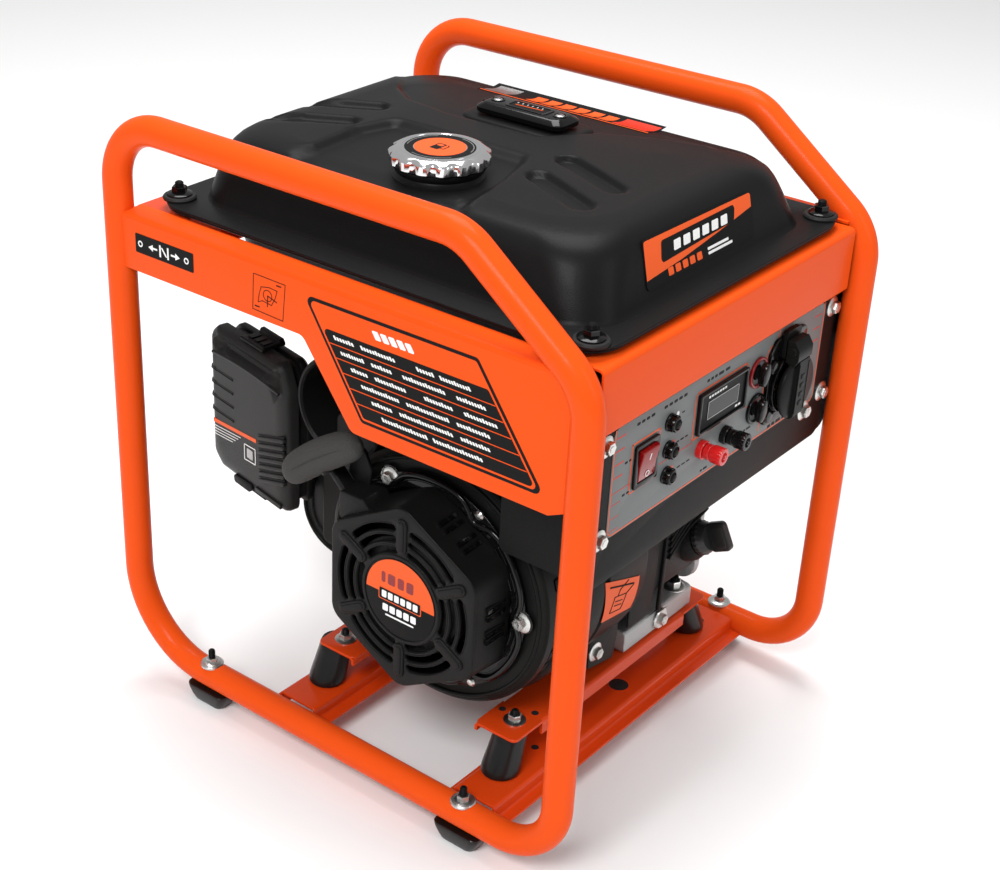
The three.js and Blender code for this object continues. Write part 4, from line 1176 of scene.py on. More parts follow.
def add_switch():
    bezel = Piece("switch_frame", tint="gloss", at=FRONT)
    y0, y1, z0, z1 = -104.2, -76.6, 289, 321.4
    outer = rect(y0, y1, z0, z1, 2.2)
    hole = rect(y0 + 3.6, y1 - 3.6, z0 + 4.2, z1 - 4.2, 1)
    bezel.add(flat([outer, hole], PANEL_X + 0.2, PANEL_X + 2.6, 0.6))
    bezel.add(flat([rect(y0 + 4, y1 - 4, z0 + 4.6, z1 - 4.6, 1)], 176, PANEL_X - 1), "plastic")
    bezel.build(["switch_bezel"], smooth=38)
    middle = (y0 + y1) / 2
    rocker = Piece("rocker_key", "rocker", "ink_white")
    profile = [
        (198.2, z0 + 4.6), (200.2, z0 + 4.6), (200.8, z0 + 5.6), (201.4, 304), (203.6, z1 - 6.6),
        (203.2, z1 - 5.2), (202.2, z1 - 4.6), (198.2, z1 - 4.6)
    ]
    half = (y1 - y0) / 2 - 4.1
    rings = []
    for y, shrink in (
        (middle - half, 0.5), (middle - half + 0.5, 0), (middle + half - 0.5, 0), (middle + half, 0.5)
    ):
        rings.append([Vector((x - (shrink if x > 199 else 0), y, z)) for x, z in profile])
    rocker.add(loft(rings), "rocker_red")
    lean = place((201.2, middle, 297.5), (0, 1, 0), (0.05, 0, 1))
    rocker.add(flat([ring(0, 0, 2.3, 28), ring(0, 0, 1.8, 28)], 0.02, 0.2), at=lean)
    lean_up = place((202.6, middle, 310.5), (0, 1, 0), (0.2, 0, 1))
    rocker.add(flat([rect(-0.5, 0.5, -2.6, 2.6)], 0, 0.25), at=lean_up)
    rocker.build(["switch_rocker"], smooth=38)


def add_meter():
    y0, y1, z0, z1 = -29.4, 33, 299.5, 330.5
    meter = Piece("meter_housing", tint="gloss", at=FRONT)
    meter.add(
        flat(
            [rect(y0, y1, z0, z1, 1.6), rect(y0 + 2.4, y1 - 2.4, z0 + 2.2, z1 - 2.2, 1)], PANEL_X + 0.3,
            PANEL_X + 3.6, 0.7
        )
    )
    meter.add(flat([rect(y0 + 2.6, y1 - 2.6, z0 + 2.4, z1 - 2.4, 1)], 170, PANEL_X + 2), "black_and_shade")
    screen = rect(y0 + 12, y1 - 11, z0 + 8.6, z1 - 9.2, 0.6)
    meter.add(flat([screen], PANEL_X + 2, PANEL_X + 2.3))
    edge = [(y0 + 12, z0 + 8.6), (y1 - 11, z0 + 8.6), (y1 - 11, z1 - 9.2), (y0 + 12, z1 - 9.2)]
    line(meter, edge, 0.5, PANEL_X + 2.3, PANEL_X + 2.4, "steel", FRONT, True)
    for k in range(7):
        y = y0 + 12 + k * 3.4
        meter.add(
            flat([rect(y, y + 2.3, z1 - 6.4, z1 - 4.8, 0.3, 2)], PANEL_X + 2, PANEL_X + 2.12), "ink_white"
        )
    for k in range(2):
        y = y1 - 13 + k * 4
        meter.add(
            flat([rect(y, y + 3, z0 + 4, z0 + 5.6, 0.3, 2)], PANEL_X + 2, PANEL_X + 2.12), "ink_white"
        )
    meter.build(["meter"], smooth=38)


def add_lamps():
    lamps = Piece("indicator_lamps", tint="gloss")
    for y, z in ((-63, 323.5), (-62.6, 303), (-62.2, 283.5)):
        spot = at_front(PANEL_X, y, z)
        lamps.add(
            lathe(
                [
                    (0, 0.2), (6.4, 0.2), (6.4, 1.4), (5.6, 2), (5.4, 5.6), (4.8, 6.6), (3.9, 6.8),
                    (3.7, 5.4), (0, 5.4)
                ],
                32
            ),
            at=spot
        )
        lamps.add(lathe([(0, 5), (3.2, 5), (3.1, 6.4), (2.2, 7.6), (0, 8.1)], 28), "black_and_shade", spot)
        for k in range(8):
            a = TAU * k / 8
            lamps.add(flat([rect(-0.5, 0.5, 5.2, 6.1)], 0.6, 5.4), at=spot @ Matrix.Rotation(a, 4, "Z"))
    lamps.build()


def add_breakers():
    for name, (y, z) in BREAKERS.items():
        node = f"breaker_{name}"
        spot = at_front(PANEL_X, y, z)
        ring_piece = Piece(f"breaker_ring_{name}")
        tint = "ring_red" if name == "ac" else "gloss"
        ring_piece.add(flat([ring(0, 0, 11.7, 48), ring(0, 0, 9.4, 48)], 0.2, 2.6, 0.6), tint, spot)
        ring_piece.build()
        knob = Piece(f"breaker_button_{name}", node, "gloss")
        # Radius of the core, reach of the two wings, height.
        shape = (
            (4.6, 0, 0.8), (4.8, 0, 3.6), (5, 3.4, 3.9), (5.2, 3.8, 4.4), (5, 3.8, 7), (4.7, 3.5, 8.4),
            (3.8, 2.6, 9), (2.4, 1.6, 9.2)
        )
        knob.add(
            turned(shape, 72, lambda part, a: part[0] + part[1] * abs(math.sin(a + 0.2)) ** 4), at=spot
        )
        knob.build([node])


def add_posts():
    for name, tint, (y, z) in (("red", "red", (-19, 286)), ("black", "gloss", (12, 285))):
        node = f"dc_post_{name}"
        low, high = box_mm(node)
        spot = at_front(0, y, z)
        knob = Piece(f"post_knob_{name}", node)
        x0, x1 = low.x, high.x
        body = [
            (0, x0), (5.4, x0), (5.8, x0 + 0.6), (5.8, x0 + 4), (5.2, x0 + 4.6), (5.2, x0 + 5.2),
            (0, x0 + 5.2)
        ]
        knob.add(lathe(body, 40), tint, spot)
        # Radius, depth of the sixteen flutes, height.
        head = (
            (5.8, 0, x0 + 5), (6.4, 0.3, x0 + 5.8), (6.4, 0.3, x1 - 1), (6, 0, x1 - 0.3), (4.4, 0, x1),
            (3.6, 0, x1 - 0.1), (3.2, 0.3, x1 - 1.6)
        )
        knob.add(
            turned(head, 96, lambda part, a: part[0] - (part[1] if math.cos(16 * a) > 0.3 else 0)), tint,
            spot
        )
        knob.build([node], smooth=40)
        collar = Piece(f"post_collar_{name}")
        collar.add(
            lathe(
                [(0, PANEL_X + 0.2), (6.8, PANEL_X + 0.2), (6.8, x0 - 1), (6.2, x0 - 0.4), (0, x0 - 0.4)],
                40
            ),
            tint, spot
        )
        collar.build()


def add_socket():
    low, high = box_mm("socket_body")
    front = high.x
    middle = (low.y + high.y) / 2
    body = Piece("socket_base", tint="gloss", at=FRONT)
    outline = rounded(
        [
            (low.y - 2, 271, 5), (high.y - 4, 271, 8), (high.y - 2, 337, 6), (low.y + 6, 337, 6),
            (low.y - 2, 327, 6)
        ],
        8
    )
    body.add(flat([outline], PANEL_X + 0.1, PANEL_X + 3.2, 0.8))
    body.add(flat([ring(middle, 299, 23.5, 64), ring(middle, 299, 20, 64)], PANEL_X + 3, front - 0.2, 0.8))
    body.add(flat([ring(middle, 299, 20.2, 64)], PANEL_X + 0.5, PANEL_X + 1.6), "plastic")
    for z in (289.5, 308.5):
        body.add(
            lathe(
                [(2.2, PANEL_X + 1.5), (3.4, PANEL_X + 1.5), (3.4, PANEL_X + 2.6), (2.2, PANEL_X + 2.6)], 24
            ),
            at=at_front(0, middle, z)
        )
    for y in (-17.5, 17.5):
        body.add(
            flat([rect(middle + y - 1.4, middle + y + 1.4, 295, 303, 0.6)], PANEL_X + 1.5, front - 1, 0.3),
            "zinc"
        )
    for y, z in ((low.y + 1.6, 318), (low.y + 1, 280)):
        body.add(
            lathe(
                [
                    (0, PANEL_X + 3), (5, PANEL_X + 3), (5.2, PANEL_X + 5), (4.4, PANEL_X + 6.4),
                    (0, PANEL_X + 6.8)
                ],
                28
            ),
            at=at_front(0, y, z)
        )
    body.add(
        extrude_x(
            rounded(
                [
                    (middle - 12, 320, 3), (middle + 8, 320, 3), (middle + 8, 341.6, 3),
                    (middle - 12, 341.6, 3)
                ],
                6
            ),
            PANEL_X + 2, front - 0.2
        ),
        "satin", UP
    )
    body.build(["socket_body"], bevel=0.3, smooth=38)
    low, high = box_mm("socket_lid")
    lid = Piece("socket_flap", "socket_lid", "satin")
    x0, x1 = low.x, high.x
    middle = (low.y + high.y) / 2
    face = x1 - 6.3
    disc = [
        (0, x0 + 0.3), (18, x0 + 0.3), (18.4, face - 3.4), (23, face - 2.9), (23.6, face - 2.3),
        (23.4, face - 0.8), (22.4, face - 0.1), (0, face)
    ]
    lid.add(lathe(disc, 72), at=at_front(0, middle - 0.5, 297))
    # Raised band over the middle of the disc, running up into the hinge block.
    half = 7
    top = face + 2.8
    band = [(x0 + 1, 273.4), (top - 3, 273.4), (top - 0.4, 276), (top, 280), (top, 320), (x0 + 1, 320)]
    lid.add(extrude_y(band, middle - half, middle + half))
    hinge = [
        (x0 + 0.4, 319), (top - 3, 316), (top + 0.6, 322), (top + 0.6, 329.6), (top - 3.6, 335.8),
        (x0 + 0.4, 335.8)
    ]
    lid.add(extrude_y(hinge, middle - half - 5, middle + half + 1))
    for side in (-1, 1):
        lid.add(
            extrude_y(
                [(top - 1, 277), (top + 0.4, 279), (top + 0.4, 317), (top - 1, 318)], middle + side * half,
                middle + side * (half - 1.2)
            )
        )
        lid.add(
            lathe([(0, -1), (3.2, -1), (3.6, 0), (3.2, 1), (0, 1)], 24),
            at=place(
                (x0 + 4.6, middle + side * (half + 1) - (4 if side < 0 else 0), 328), (1, 0, 0), (0, 0, 1)
            )
        )
    for k in range(4):
        z = 284 + k * 7
        lid.add(
            flat([rect(middle - 2.6, middle + 2.6, z, z + 3.4, 0.5, 2)], top - 0.2, top + 0.35, 0.1),
            at=FRONT
        )
    lid.build(["socket_lid"], bevel=0.9, smooth=38)


add_panel()
add_box()
add_switch()
add_meter()
add_lamps()
add_breakers()
add_posts()
add_socket()


# ---------- recoil starter and blower housing ----------
CRANK_X, CRANK_Z = 57.0, 172.0
CRANK_AT = at_near(CRANK_X, 0, CRANK_Z)
RIM_BOLTS = ((120, 5.4), (60, 2.8), (0, 5.4), (-60, 2.8))


def hexagon_outline(apothem, radius):
    corners = []
    for k in range(6):
        a = math.radians(30 + 60 * k)
        r = apothem / math.cos(math.radians(30))
        corners.append((r * math.cos(a), r * math.sin(a), radius))
    return rounded(corners, 8)


def torus(path, radius, sides=16):
    return tube(path, radius, sides, closed=True)


def add_recoil():
    low, high = box_mm("recoil_cover")
    face = -low.y
    back = -high.y
    cover = Piece("recoil_shroud", tint="plastic", at=CRANK_AT)
    cover.add(flat([ring(0, 0, 83.5, 96), ring(0, 0, 71.5, 96)], back, back + 2.6, 0.6), "gloss")
    bead = []
    for k in range(180):
        degrees = 2 * k
        dip = 0
        for at, _ in RIM_BOLTS:
            away = (degrees - at + 180) % 360 - 180
            dip += (9.6 if abs(at) == 60 else 6.4) * math.exp(-((away / 8) ** 2))
        bead.append((*polar(81.6 - dip, degrees), back + 2.6))
    cover.add(torus(bead, 2.7), "gloss")
    inner = [
        (*polar(p * 0.955, 2 * k), back + 1.6) for k, p in enumerate(math.hypot(b[0], b[1]) for b in bead)
    ]
    cover.add(torus(inner, 1.3, 10), "gloss")
    cover.add(wall(hexagon_outline(68, 18), hexagon_outline(65.4, 15), back + 0.4, face - 2.6, 2.4))
    slots = []
    for k in range(6):
        for radius, sweep in ((38.6, 40), (47.2, 42), (55.8, 42)):
            slots.append(arc_slot(radius, 5, 60 * k, sweep))
    cover.add(flat([hexagon_outline(65.4, 15), *slots], face - 3.6, face, 1.3))
    for k in range(6):
        for radius in (38.6, 47.2, 55.8):
            for edge in (-3.5, 3.5):
                cover.add(flat([arc_slot(radius + edge, 0.9, 60 * k, 40)], face - 0.6, face + 0.35, 0.3))
        degrees = 30 + 60 * k
        x0, y0 = polar(42, degrees)
        x1, y1 = polar(61, degrees)
        cover.add(flat([capsule(x0, y0, x1, y1, 9.4, 12)], face - 1, face + 1.5, 1.3))
        cover.add(flat([capsule(x0, y0, x1, y1, 5.6, 12)], face + 1, face + 2, 0.8))
    cover.add(flat([ring(0, 0, 35, 72), ring(0, 0, 32.6, 72)], face - 1, face + 0.8, 0.5))
    # Cooling vents in the recess beside the hexagon.
    for middle in (37, 22, -14, -30):
        for radius in (73.6, 77.2):
            cover.add(flat([arc_slot(radius, 1.5, middle, 9)], back + 2.4, back + 3.6, 0.5), "gloss")
    # Louvres on the sides of the hexagon, between its corners, with black strips in the gaps as painted
    # shade.
    for degrees in (60, 0, -60):
        side = CRANK_AT @ Matrix.Rotation(math.radians(degrees), 4, "Z")
        for k in (-2, -1, 1, 2):
            y = 6.4 * k
            cover.add(block(65, 68.2, y - 1.5, y + 1.5, back + 5, face - 12), "gloss", side)
            cover.add(block(65, 67.8, y + 1.6, y + 3, back + 5, face - 12), "black_and_shade", side)
    # Guide that holds the rope and its brace.
    block_outline = rounded([(-66, 38, 2), (-50, 36, 4), (-36, 52, 2), (-44, 60, 2), (-66, 60, 3)])
    cover.add(flat([block_outline], back + 2, back + 28, 1.2))
    cover.add(flat([capsule(-85, 70, -60, 47, 5.4)], back + 8, back + 21, 1.6))
    cover.add(
        flat(
            [rounded([(-74, 64, 2), (-56, 46, 1), (-52, 72, 4), (-62, 92, 5), (-72, 78, 3)])], back + 6,
            back + 9, 0.8
        )
    )
    cover.build(["recoil_cover"], smooth=38)
    fasteners = Piece("recoil_fasteners", tint="gloss")
    for degrees, size in RIM_BOLTS:
        x, y = polar(80.4, degrees)
        spot = CRANK_AT @ at_up(x, y, back + 1.6)
        if size > 4:
            fasteners.add(flat([ring(0, 0, 9.4, 32)], -1, 0.6, 0.5), at=spot)
            bolt(fasteners, spot @ at_up(0, 0, 0.4), size)
        else:
            fasteners.add(lathe([(0, 0), (3.8, 0), (3.6, 1.6), (2.4, 3), (0, 3.4)], 24), "zinc", spot)
    fasteners.build()
    badge = Piece("recoil_badge", tint="ink_white", at=CRANK_AT)
    badge.add(flat([ring(0, 0, 31.6, 96)], face, face + 0.5, 0.15), "black_and_shade")
    arc = [Vector(polar(31, 180 * k / 40)) for k in range(41)]
    badge.add(flat([arc], face + 0.5, face + 0.62), "ink_orange")
    low_z, high_z = face + 0.62, face + 0.74
    for k, length in enumerate((3.4, 6.6, 5.6, 6.2)):
        x = -17 + sum((3.4, 6.6, 5.6, 6.2)[:k]) + k * 2.4
        badge.add(flat([rect(x, x + length, 8.6, 17.4, 1.4, 3)], low_z, high_z), "ring_red")
    badge.add(flat([rect(-19.5, 19.5, -6, 4.4, 1.2, 3)], low_z, high_z), "ink_orange")
    badge.add(flat([rect(-18.7, 18.7, -5.2, 3.6, 0.9, 3)], high_z, high_z + 0.1), "black_and_shade")
    for k in range(6):
        x = -16.4 + k * 5.7
        badge.add(flat([rect(x, x + 4.3, -3.6, 2, 0.7, 2)], high_z + 0.1, high_z + 0.2))
    for k in range(5):
        x = -15.6 + k * 6.4
        badge.add(flat([rect(x, x + 5, -14.6, -8.8, 0.9, 2)], low_z, high_z))
    badge.add(flat([rect(-13, 13, -18.2, -16.8, 0.5, 2)], low_z, high_z))
    badge.build()


def add_starter_inside():
    """Rope pulley, with three studs and six spokes on its face, that shows through the grille."""
    low, high = box_mm("recoil_pulley")
    pulley = Piece("rope_pulley", "recoil_pulley", "plastic", CRANK_AT)
    front, back = -low.y, -high.y
    radius = (high.x - low.x) / 2
    middle = (front + back) / 2
    profile = [
        (0, back), (radius - 1, back), (radius, back + 0.5), (radius, back + 2), (radius - 7, middle - 2),
        (radius - 7, middle + 2),
        (radius, front - 2), (radius, front - 0.5), (radius - 1, front), (22, front), (20, front - 1.6),
        (12, front - 1.6), (11, front), (0, front),
    ]
    pulley.add(lathe(profile, 72))
    for k in range(3):
        x, y = polar(16, 120 * k)
        pulley.add(
            lathe([(0, front - 1.8), (2.4, front - 1.8), (2.2, front - 0.2), (0, front)], 20), "zinc",
            CRANK_AT @ at_up(x, y, 0)
        )
    for k in range(6):
        x0, y0 = polar(23, 60 * k)
        x1, y1 = polar(radius - 4, 60 * k)
        pulley.add(flat([capsule(x0, y0, x1, y1, 3)], front - 0.4, front + 0.2, 0.15))
    pulley.build(["recoil_pulley"], smooth=38)


def add_blower():
    drum = Piece("blower_drum", tint="satin")
    front = 127.0
    profile = [
        (78, front - 3), (78, front - 0.6), (79, front), (94, front), (97.6, front - 1),
        (99.6, front - 3.4), (99.8, front - 11),
        (98.4, front - 12.4), (98.2, front - 20), (99.8, front - 21.4), (101.6, front - 23.4),
        (102.9, front - 27), (103, 62),
        (101.4, 60.6), (101.4, 57), (103, 55.4), (103, 8), (102, 6), (100, 5), (100, 8), (100, 60),
        (96, front - 5),
    ]
    drum.add(hollow(profile, 96), at=CRANK_AT)
    drum.add(torus([(*polar(93, 3 * k), front + 0.2) for k in range(120)], 1.6, 12), at=CRANK_AT)
    # Dark plates around the rim, between the two front ribs of the drum: painted shade where the openings
    # are.
    for k in range(26):
        degrees = -70 + 8.6 * k
        spot = CRANK_AT @ Matrix.Rotation(
            math.radians(degrees), 4, "Z"
        ) @ Matrix.Translation((98.4, 0, front - 16.2))
        facing = place((0, 0, 0), (0, 1, 0), (0, 0, 1))
        drum.add(flat([rect(-4.6, 4.6, -2.8, 2.8, 1.2, 4)], 0, 1.0, 0.3), "black_and_shade", spot @ facing)
    wide = rounded([
        (-110.6, 117.4, 36), (-110.6, 195.6, 2), (-75.6, 196.6), (-75.6, 234.6, 20), (CRANK_X - 30, 234.6),
        (CRANK_X - 30, 117.4),
    ], 12)
    centre = Vector((-50, 172))
    rings = []
    for inset, y in ((2.2, 83.8), (0.6, 82.6), (0, 80.8), (0, 7), (1.2, 5)):
        rings.append(
            [
                Vector((p.x - (p.x - centre.x) * inset / 50, -y, p.y - (p.y - centre.y) * inset / 50))
                for p in wide
            ]
        )
    drum.add(loft(rings))
    shelf = rect(-71.6, CRANK_X - 30, 140.4, 231.6, 6, 6)
    drum.add(flat([shelf], 78, 104.6, 1.2), at=NEAR)
    # Two beads that follow the outer edge of the scroll.
    for inset, radius in ((1.2, 1.8), (9, 1.5)):
        bead = rounded(
            [
                (CRANK_X - 70, 117.4 + inset), (-110.6 + inset, 117.4 + inset, 36 - inset),
                (-110.6 + inset, 194)
            ],
            16
        )
        drum.add(tube([Vector((p.x, -83.2, p.y)) for p in bead], radius, 12))
    drum.build(["blower_housing"], smooth=38)
    duct = Piece("air_duct_ring", tint="plastic")
    spot = at_near(-44, 0, 268)
    profile = [
        (28.4, 48), (31, 48), (31.6, 49.4), (36, 82), (39.4, 104), (40.4, 110), (41.2, 113), (41.4, 115.6),
        (40.4, 117.6),
        (38.4, 118), (37, 116.4), (36.6, 112), (34, 90), (28.4, 50),
    ]
    duct.add(hollow(profile, 72), at=spot)
    for k in range(6):
        duct.add(flat([arc_slot(24, 1.6, 60 * k, 50)], 60, 62, 0.4), at=spot)
    # Black disc inside the ring: painted shade in the hollow of the duct.
    duct.add(flat([ring(0, 0, 30, 48)], 58, 60), "black_and_shade", spot)
    duct.add(
        flat([rounded([(-8, -50, 6), (44, -50, 6), (50, -18, 8), (44, -6, 8), (-8, -6, 6)])], 60, 111, 1.2),
        at=spot
    )
    duct.build()


def add_engine_label():
    label = Piece("engine_label", tint="ink_orange")
    outline = [(-62.5, 181), (-57.5, 143), (-13.6, 133.5), (-17, 166)]
    x = box_mm("blower_housing")[1].x
    middle = CRANK_X
    grid = []
    columns = 14
    rows = 10
    for lift in (0.45, 0.1):
        for i in range(columns + 1):
            for j in range(rows + 1):
                u, v = i / columns, j / rows
                top = between(outline[0], outline[3], u)
                bottom = between(outline[1], outline[2], u)
                y, z = between(bottom, top, v)
                r = x - middle + lift
                grid.append(Vector((middle + math.sqrt(max(r * r - (z - CRANK_Z) ** 2, 1)), y, z)))
    label.add(sheet(grid, columns, rows))

    def mark(y0, z0, y1, z1, width=0.8):
        count = 6
        points = []
        for k in range(count + 1):
            y, z = between((y0, z0), (y1, z1), k / count)
            r = x - middle + 0.5
            points.append(Vector((middle + math.sqrt(r * r - (z - CRANK_Z) ** 2), y, z)))
        label.add(tube(points, width / 2, 6), "black_and_shade")

    # A generic oil-can sign and one plain line instead of words.
    mark(-56, 174, -24, 163, 1.4)
    mark(-50, 148, -34, 144)
    mark(-34, 144, -32, 158)
    mark(-32, 158, -48, 162)
    mark(-48, 162, -50, 148)
    mark(-44, 161, -42, 166)
    mark(-42, 166, -32, 170)
    mark(-32, 158, -24, 162)
    mark(-46, 157, -36, 154)
    mark(-46, 153, -36, 150)
    label.build()


def add_grip():
    tilt = math.radians(36)
    spot = place(
        (-28, -155, 252), (math.cos(tilt), 0, math.sin(tilt)), (-math.sin(tilt), 0, math.cos(tilt))
    )
    grip = Piece("grip_moulding", "starter_grip", "grip")
    rings = []
    count = 40
    for k in range(count + 1):
        t = -1 + 2 * k / count
        end = math.sqrt(max(0, 1 - abs(t) ** 7))
        height = 12.8 * end * (1 - 0.1 * t * t)
        width = 9.4 * end * (1 - 0.12 * t * t)
        bend = -3.2 * t * t
        rings.append(
            [
                Vector((44 * t, height * math.sin(TAU * j / 32) + bend, width * math.cos(TAU * j / 32)))
                for j in range(32)
            ]
        )
    grip.add(loft(rings), at=spot)
    seam = []
    for k in range(-19, 20):
        t = k / 20
        x = 41.36 * t
        seam.append(
            Vector((x, -3.2 * (x / 44) ** 2, 9.6 * math.sqrt(1 - abs(t) ** 7) * (1 - 0.12 * t * t)))
        )
    grip.add(tube(seam, 0.35, 6), at=spot)
    grip.add(
        lathe([(0, -13.5), (4.6, -13.5), (5, -11.8), (5, -6), (0, -6)], 24), "plastic",
        spot @ place((0, 0, 0), (1, 0, 0), (0, 0, -1))
    )
    grip.build(["starter_grip"], smooth=60)


# ---------- air filter ----------
FILTER_AT = Matrix.Translation((-143.5, -110.5, 0)) @ Matrix.Rotation(math.radians(-12.6), 4, "Z")
FILTER_FRONT = FILTER_AT @ NEAR
FILTER_LOW, FILTER_HIGH = 160.0, 284.0


def filter_outline(inset, steps=8):
    low, high = FILTER_LOW + inset, FILTER_HIGH - inset
    return rounded([
        (-56.6 + inset, low + 10, 8), (-46 + inset, low + 1, 6), (49.6 - inset, low, 7),
        (49.6 - inset, high - 22, 14), (40 - inset, high, 10), (-49 + inset, high, 8),
        (-56.6 + inset, high - 7, 7),
    ], steps)


def grooved(loop, height):
    """One section of the cover, with grooves around its left edge and a hollow under its top."""
    row = []
    for p in loop:
        x, z = p.x, p.y
        dip = smooth(
            (z - 263 - 3 * (1 - ((x + 3.5) / 50) ** 2)) / 4
        ) * smooth((278 - z) / 4) * smooth((47 - abs(x + 3.5)) / 9)
        row.append(Vector((x, z, height - 6.5 * dip * smooth((height + 8) / 6))))
    return row


def add_filter():
    cover = Piece("filter_shell", "filter_cover", "filter_black", FILTER_FRONT)
    depth = 21.7
    sections = [
        (5, -depth), (4.4, -15), (0.8, -14), (0, -13), (0, -7), (0.7, -4.4), (2.4, -2.2), (5.4, -0.8),
        (9, -0.2), (12, 0)
    ]
    sections += [(14 + 1.4 * k, 0) for k in range(16)]
    cover.add(loft([grooved(filter_outline(inset), height) for inset, height in sections]))
    lip = [Vector((x, 261.4 + 3.2 * (1 - ((x + 3.5) / 50) ** 2), -0.1)) for x in range(-50, 43, 4)]
    cover.add(tube(lip, 1.3, 10))
    for k in range(4):
        z = 211 + 12 * k
        groove = [
            Vector((-56, z - 0.4, -3)), Vector((-53.4, z - 0.3, -1.1)), Vector((-49, z, -0.15)),
            Vector((-22, z + 0.5, -0.05))
        ]
        # Black line in each groove is painted shade.
        cover.add(tube(groove, 0.75, 10), "black_and_shade")
        cover.add(tube([p + Vector((0, 1.2, -0.2)) for p in groove], 0.7, 10))
    for k in range(7):
        z = 174 + 6.2 * k
        rise = 12
        cover.add(
            flat(
                [
                    rounded(
                        [(13, z, 1), (49, z + rise, 1), (49, z + rise + 3.8, 1.4), (14, z + 3.8, 1.4)], 4
                    )
                ],
                -2.4, 1.5, 0.9
            )
        )
        # Black strip beside each rib: painted shade between the ribs.
        cover.add(
            flat([[(13, z + 4), (49, z + rise + 4), (49, z + rise + 5.4), (13, z + 5.4)]], -1.5, 0.14),
            "black_and_shade"
        )
    cover.add(flat([[(-51.5, 199.8), (10, 206.6), (10, 209.8), (-51.5, 203)]], -0.8, 0.25), "ink_orange")
    for k in range(4):
        z = 196.6 - 2.5 * k
        tip = -12 - 4 * k
        rise = (tip + 54) * 0.11
        cover.add(
            flat([[(-51.5, z), (tip, z + rise), (tip, z + rise + 0.6), (-51.5, z + 0.6)]], -0.8, 0.2),
            "ink_white"
        )
    line(
        cover, [(-7, 185.4), (8.4, 186.6), (8.4, 200), (-7, 198.8)], 0.8, -0.1, 0.22, "ink_white",
        FILTER_FRONT, True
    )
    cover.add(flat([rect(-3.4, 4.8, 188.6, 196.8, 0.8)], -0.1, 0.22), "steel")
    cover.add(flat([rect(8, 44, 163.5, 167.5, 1)], -1, 1.2, 0.5))
    cover.add(
        flat([rounded([(-22, 158, 2), (-1, 158, 2), (8, 167, 3), (-24, 165, 3)])], -6, 0.8, 0.7),
        "black_and_shade"
    )
    cover.build(["air_filter_cover"], smooth=38)
    base = Piece("filter_back", tint="plastic")
    rings = []
    for inset, back in ((4.4, 22.2), (3, 23), (2.6, 24), (2.6, 28), (4.6, 30.8)):
        rings.append([Vector((p.x, p.y, -back)) for p in filter_outline(inset)])
    base.add(loft(rings), at=FILTER_FRONT)
    pipe = [
        (11, 54.4), (18.6, 54.4), (20, 55.6), (20, 60), (18.4, 61), (18.4, 64), (20, 65), (20, 96), (11, 96)
    ]
    base.add(hollow(pipe, 48), at=at_near(-97, 0, 244))
    base.build(["air_filter_base"], smooth=38)
    element = Piece("filter_foam", tint="foam")
    folds = []
    for k in range(29):
        x = -41.6 + 83.2 * k / 28
        folds.append((x, 9.5 if k % 2 else 8.3))
    loop = folds + [(41.6, 21.4), (-41.6, 21.4)]
    element.add(loft([[Vector((x, y, z)) for x, y in loop] for z in (174.5, 253.5)]), at=FILTER_AT)
    element.build(["air_filter_element"])
    for name, z, up in (("top", FILTER_HIGH, 1), ("bottom", FILTER_LOW, -1)):
        node = f"filter_latch_{name}"
        latch = Piece(f"latch_clip_{name}", node, "plastic", FILTER_AT)
        near_z = z + up * 0.5
        far_z = z + up * 3.2
        top_z = z + up * 6.8
        clip = [
            (4, near_z), (4.6, far_z), (19.6, far_z + up * 0.6), (21.4, top_z), (24.4, top_z),
            (25.8, far_z), (25.8, near_z)
        ]
        rings = []
        for x, shrink in ((-13.8, 0.6), (-13, 0), (13, 0), (13.8, 0.6)):
            rings.append([Vector((x, y, zz - up * (shrink if abs(zz - z) > 1 else 0))) for y, zz in clip])
        latch.add(loft(rings))
        for x in (-8, 0, 8):
            latch.add(
                block(x - 2.6, x + 2.6, 8, 17, min(far_z, far_z + up * 1.1), max(far_z, far_z + up * 1.1))
            )
        latch.add(tube([Vector((x, 4.8, z + up * 2)) for x in (-15.4, 15.4)], 1.5, 16))
        latch.build([node], bevel=0.4, smooth=38)


add_recoil()
add_starter_inside()
add_blower()
add_engine_label()
add_grip()
add_filter()


